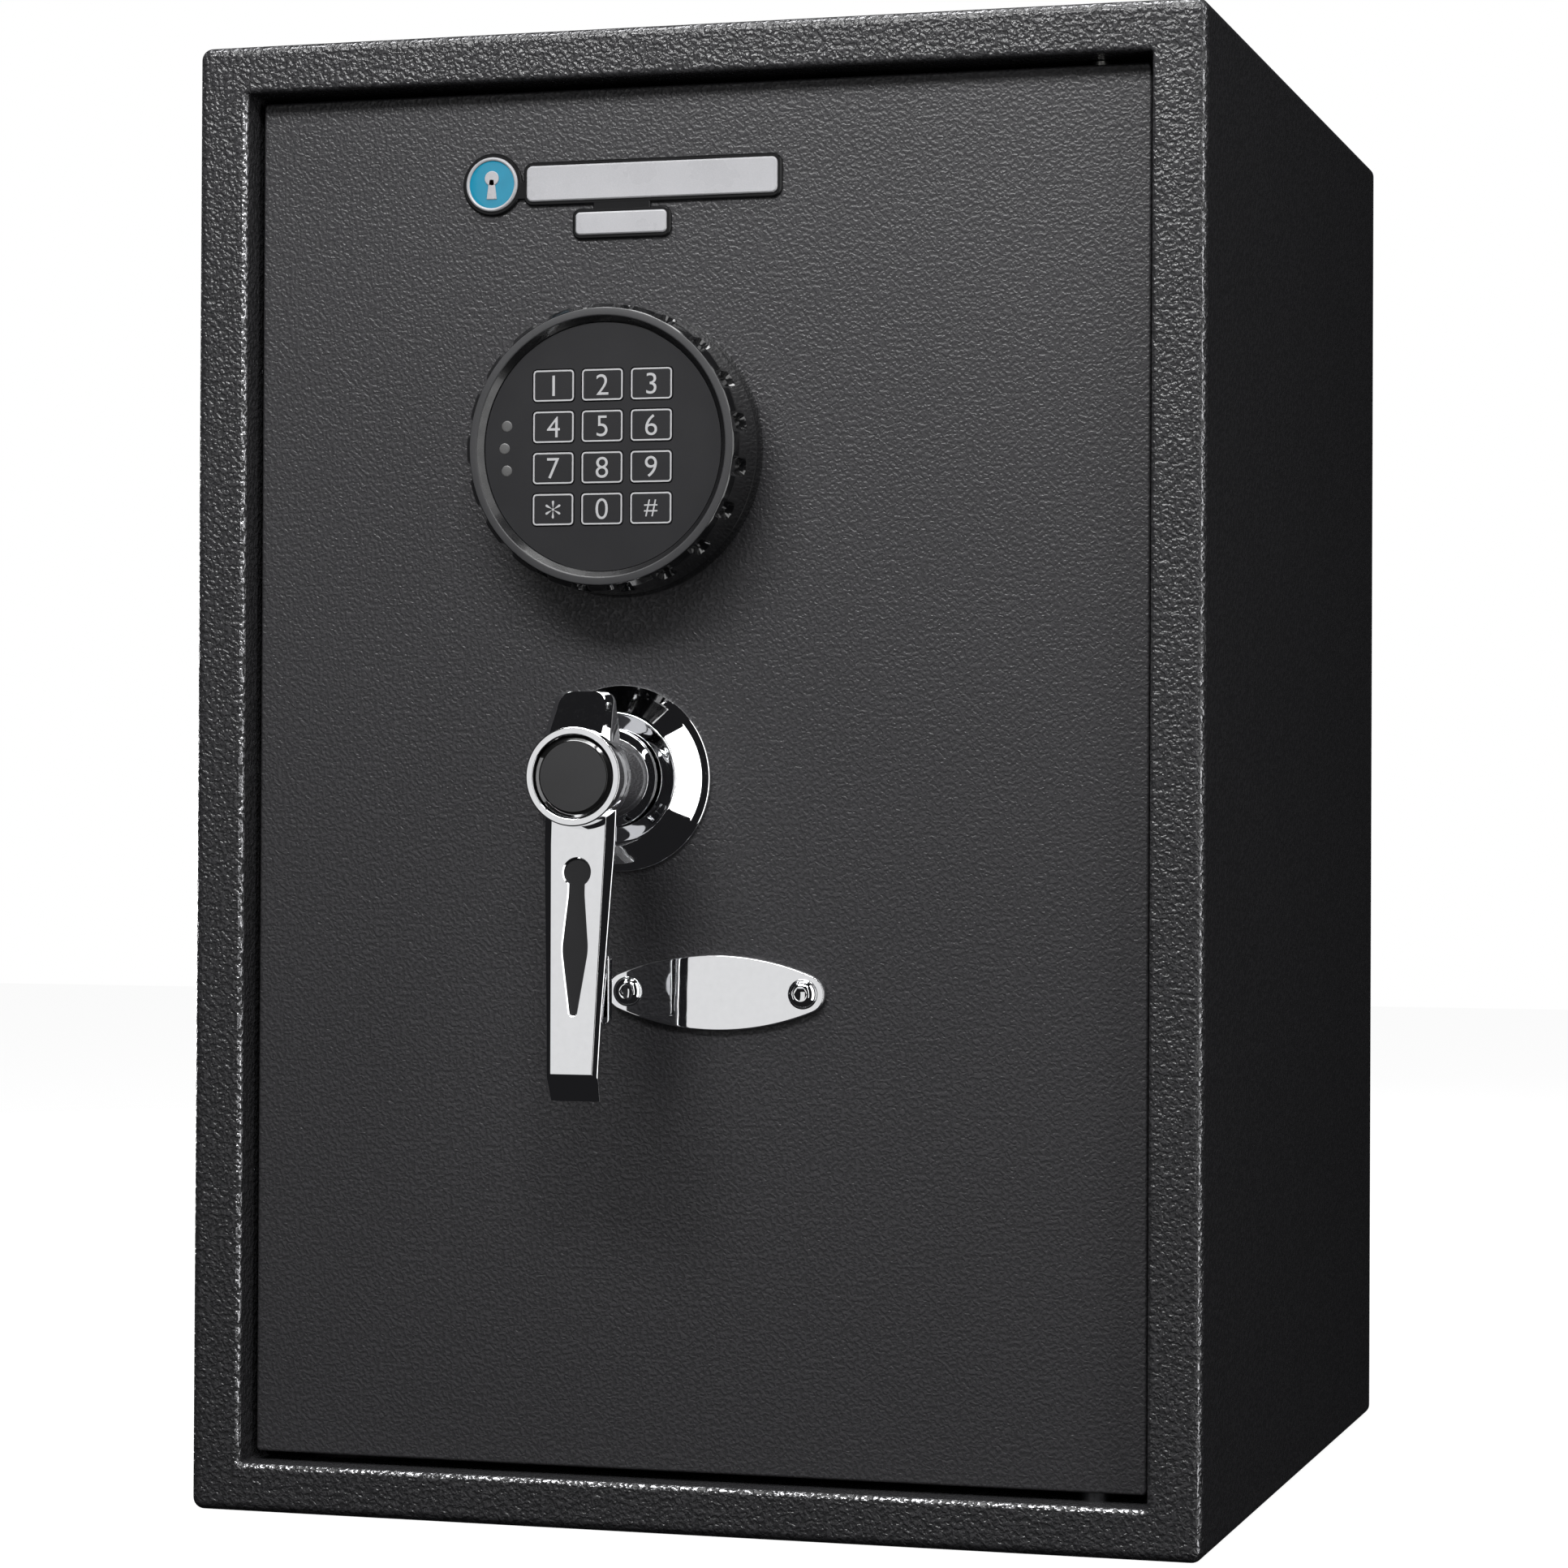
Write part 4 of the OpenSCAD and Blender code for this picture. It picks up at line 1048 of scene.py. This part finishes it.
makePadBase(padSet)
makePadHousing(padSet)

keySet = dict(
    corner=1.5, edge=0.35, flange=0.7, line=0.5, lineInset=0.25, digit=6.9, sizes={"*": 1.35, "#": 0.8},
    faces=dict(
        key_1="1", key_2="2", key_3="3", key_4="4", key_5="5", key_6="6", key_7="7", key_8="8", key_9="9",
        key_star="*", key_0="0", key_hash="#",
    ),
)


def glyphMesh(character, rise):
    # flat lettering mesh for one character, with its middle at the origin and its cap height 1
    curve = bpy.data.curves.new("glyph", "FONT")
    curve.body = character
    curve.extrude = rise / 2
    curve.offset = -0.006
    curve.resolution_u = 5
    holder = bpy.data.objects.new("glyph", curve)
    scene.collection.objects.link(holder)
    bpy.context.view_layer.update()
    mesh = bpy.data.meshes.new_from_object(holder.evaluated_get(bpy.context.evaluated_depsgraph_get()))
    points = np.array([v.co[:] for v in mesh.vertices])
    faces = [tuple(face.vertices) for face in mesh.polygons]
    bpy.data.objects.remove(holder)
    bpy.data.meshes.remove(mesh)
    return points, faces


def makeKeys(s):
    zero = glyphMesh("0", 0.1)[0]
    scale = s["digit"] / (zero[:, 1].max() - zero[:, 1].min())
    for node, character in s["faces"].items():
        low, high, mid = boxOf(node)
        flange = s["flange"]
        half = ((high[0] - low[0]) / 2 - flange, (high[2] - low[2]) / 2 - flange)
        centre = (mid[0], mid[2])
        top, back = faceY - low[1], faceY - high[1]
        outline = roundedRectangle(*half, s["corner"])
        wide = roundedRectangle(half[0] + flange, half[1] + flange, s["corner"] + 0.2)
        key = Shape()
        side = softened([(0, back + 0.9), (0, top - 0.35), (s["edge"], top - 0.05)], [0, 0.2, 0], 4)
        key.loft(bandRings(outline, side, centre))
        key.loft(bandRings(wide, [(0, back), (0, back + 1)], centre))
        # the printed outline, from its outer to its inner side
        near, far = s["lineInset"], s["lineInset"] + s["line"]
        printed = [(near, top - 0.3), (near, top - 0.01), (near + 0.06, top),
                   (far - 0.06, top), (far, top - 0.01), (far, top - 0.3)]
        key.loft(bandRings(outline, printed, centre), 1, hoop=True)
        points, faces = glyphMesh(character, 0.12 / scale)
        middle = (points.max(0) + points.min(0)) / 2
        size = s["sizes"].get(character, 1)
        x, y, z = ((points - middle) * scale * (size, size, 1)).T
        key.add(np.column_stack((centre[0] + x, faceY - top - z + 0.04, centre[1] + y)), faces, 1)
        made = key.object(node + "_cap")
        finishPiece(made, node, [keypadSatin, printSilver], [node], evened=False)


makeKeys(keySet)


lensSet = dict(radius=1.9, depth=2.7)


def makeLenses(s):
    low, high, mid = boxOf("status_lenses")
    radius = s["radius"]
    middle = (low[0] + radius, mid[2])
    lift = (high[2] - low[2]) / 2 - radius
    places = [middle, (high[0] - radius, mid[2] + lift), (high[0] - radius, mid[2] - lift)]
    top = faceY - low[1]
    shape = Shape()
    back = top - s["depth"]
    lens = [(0, back), (radius, back), (radius, top - 0.25), (radius - 0.3, top - 0.1), (0, top)]
    for x, z in places:
        shape.turned(softened(lens, [0, 0, 0.15, 0.2, 0], 3), (x, faceY, z), steps=40)
    finishPiece(shape.object("status_lens_set"), "door", [lensGrey], ["status_lenses"])


makeLenses(lensSet)
print("keypad made")

# Finishes of the parts that keep their CAD shape

carried = dict(
    # the hinge bushes get the black steel so that they sink into the dark of the sill gap: painted shade
    hinge_brackets=paint, hinge_bushes=blackSteel, shelf_clips=zincSteel, shelf=paint, door_cover=paint,
    cover_screws=zincSteel, hinge_pins=zincSteel, spindle_bush=turnedBrass, bolt_guides=nylonWhite,
    battery_box=blackPlastic, batteries=sleeve, control_board=boardGreen, solenoid_frame=zincSteel,
    solenoid_coil=coilCopper, key_cylinder=turnedBrass, cylinder_nut=zincSteel, key_plug=turnedBrass,
    key_cam=zincSteel, keypad_fascia=keypadSatin, keypad_mat=rubberGrey, keypad_board=boardGreen,
    keypad_screws=zincSteel, battery_lid=blackPlastic, spindle=zincSteel, handle_cam=zincSteel,
    spindle_clip=blackSteel, bolt_bar=zincSteel, locking_bolts=chrome, bolt_screws=blackSteel,
    solenoid_plunger=zincSteel, reset_button=buttonRed, floor_mat=feltGrey,
)


def dressCarried(finishes):
    for node, finish in finishes.items():
        mesh = nodes[node].data
        mesh.materials.clear()
        mesh.materials.append(finish)


dressCarried(carried)
print("carried parts dressed")
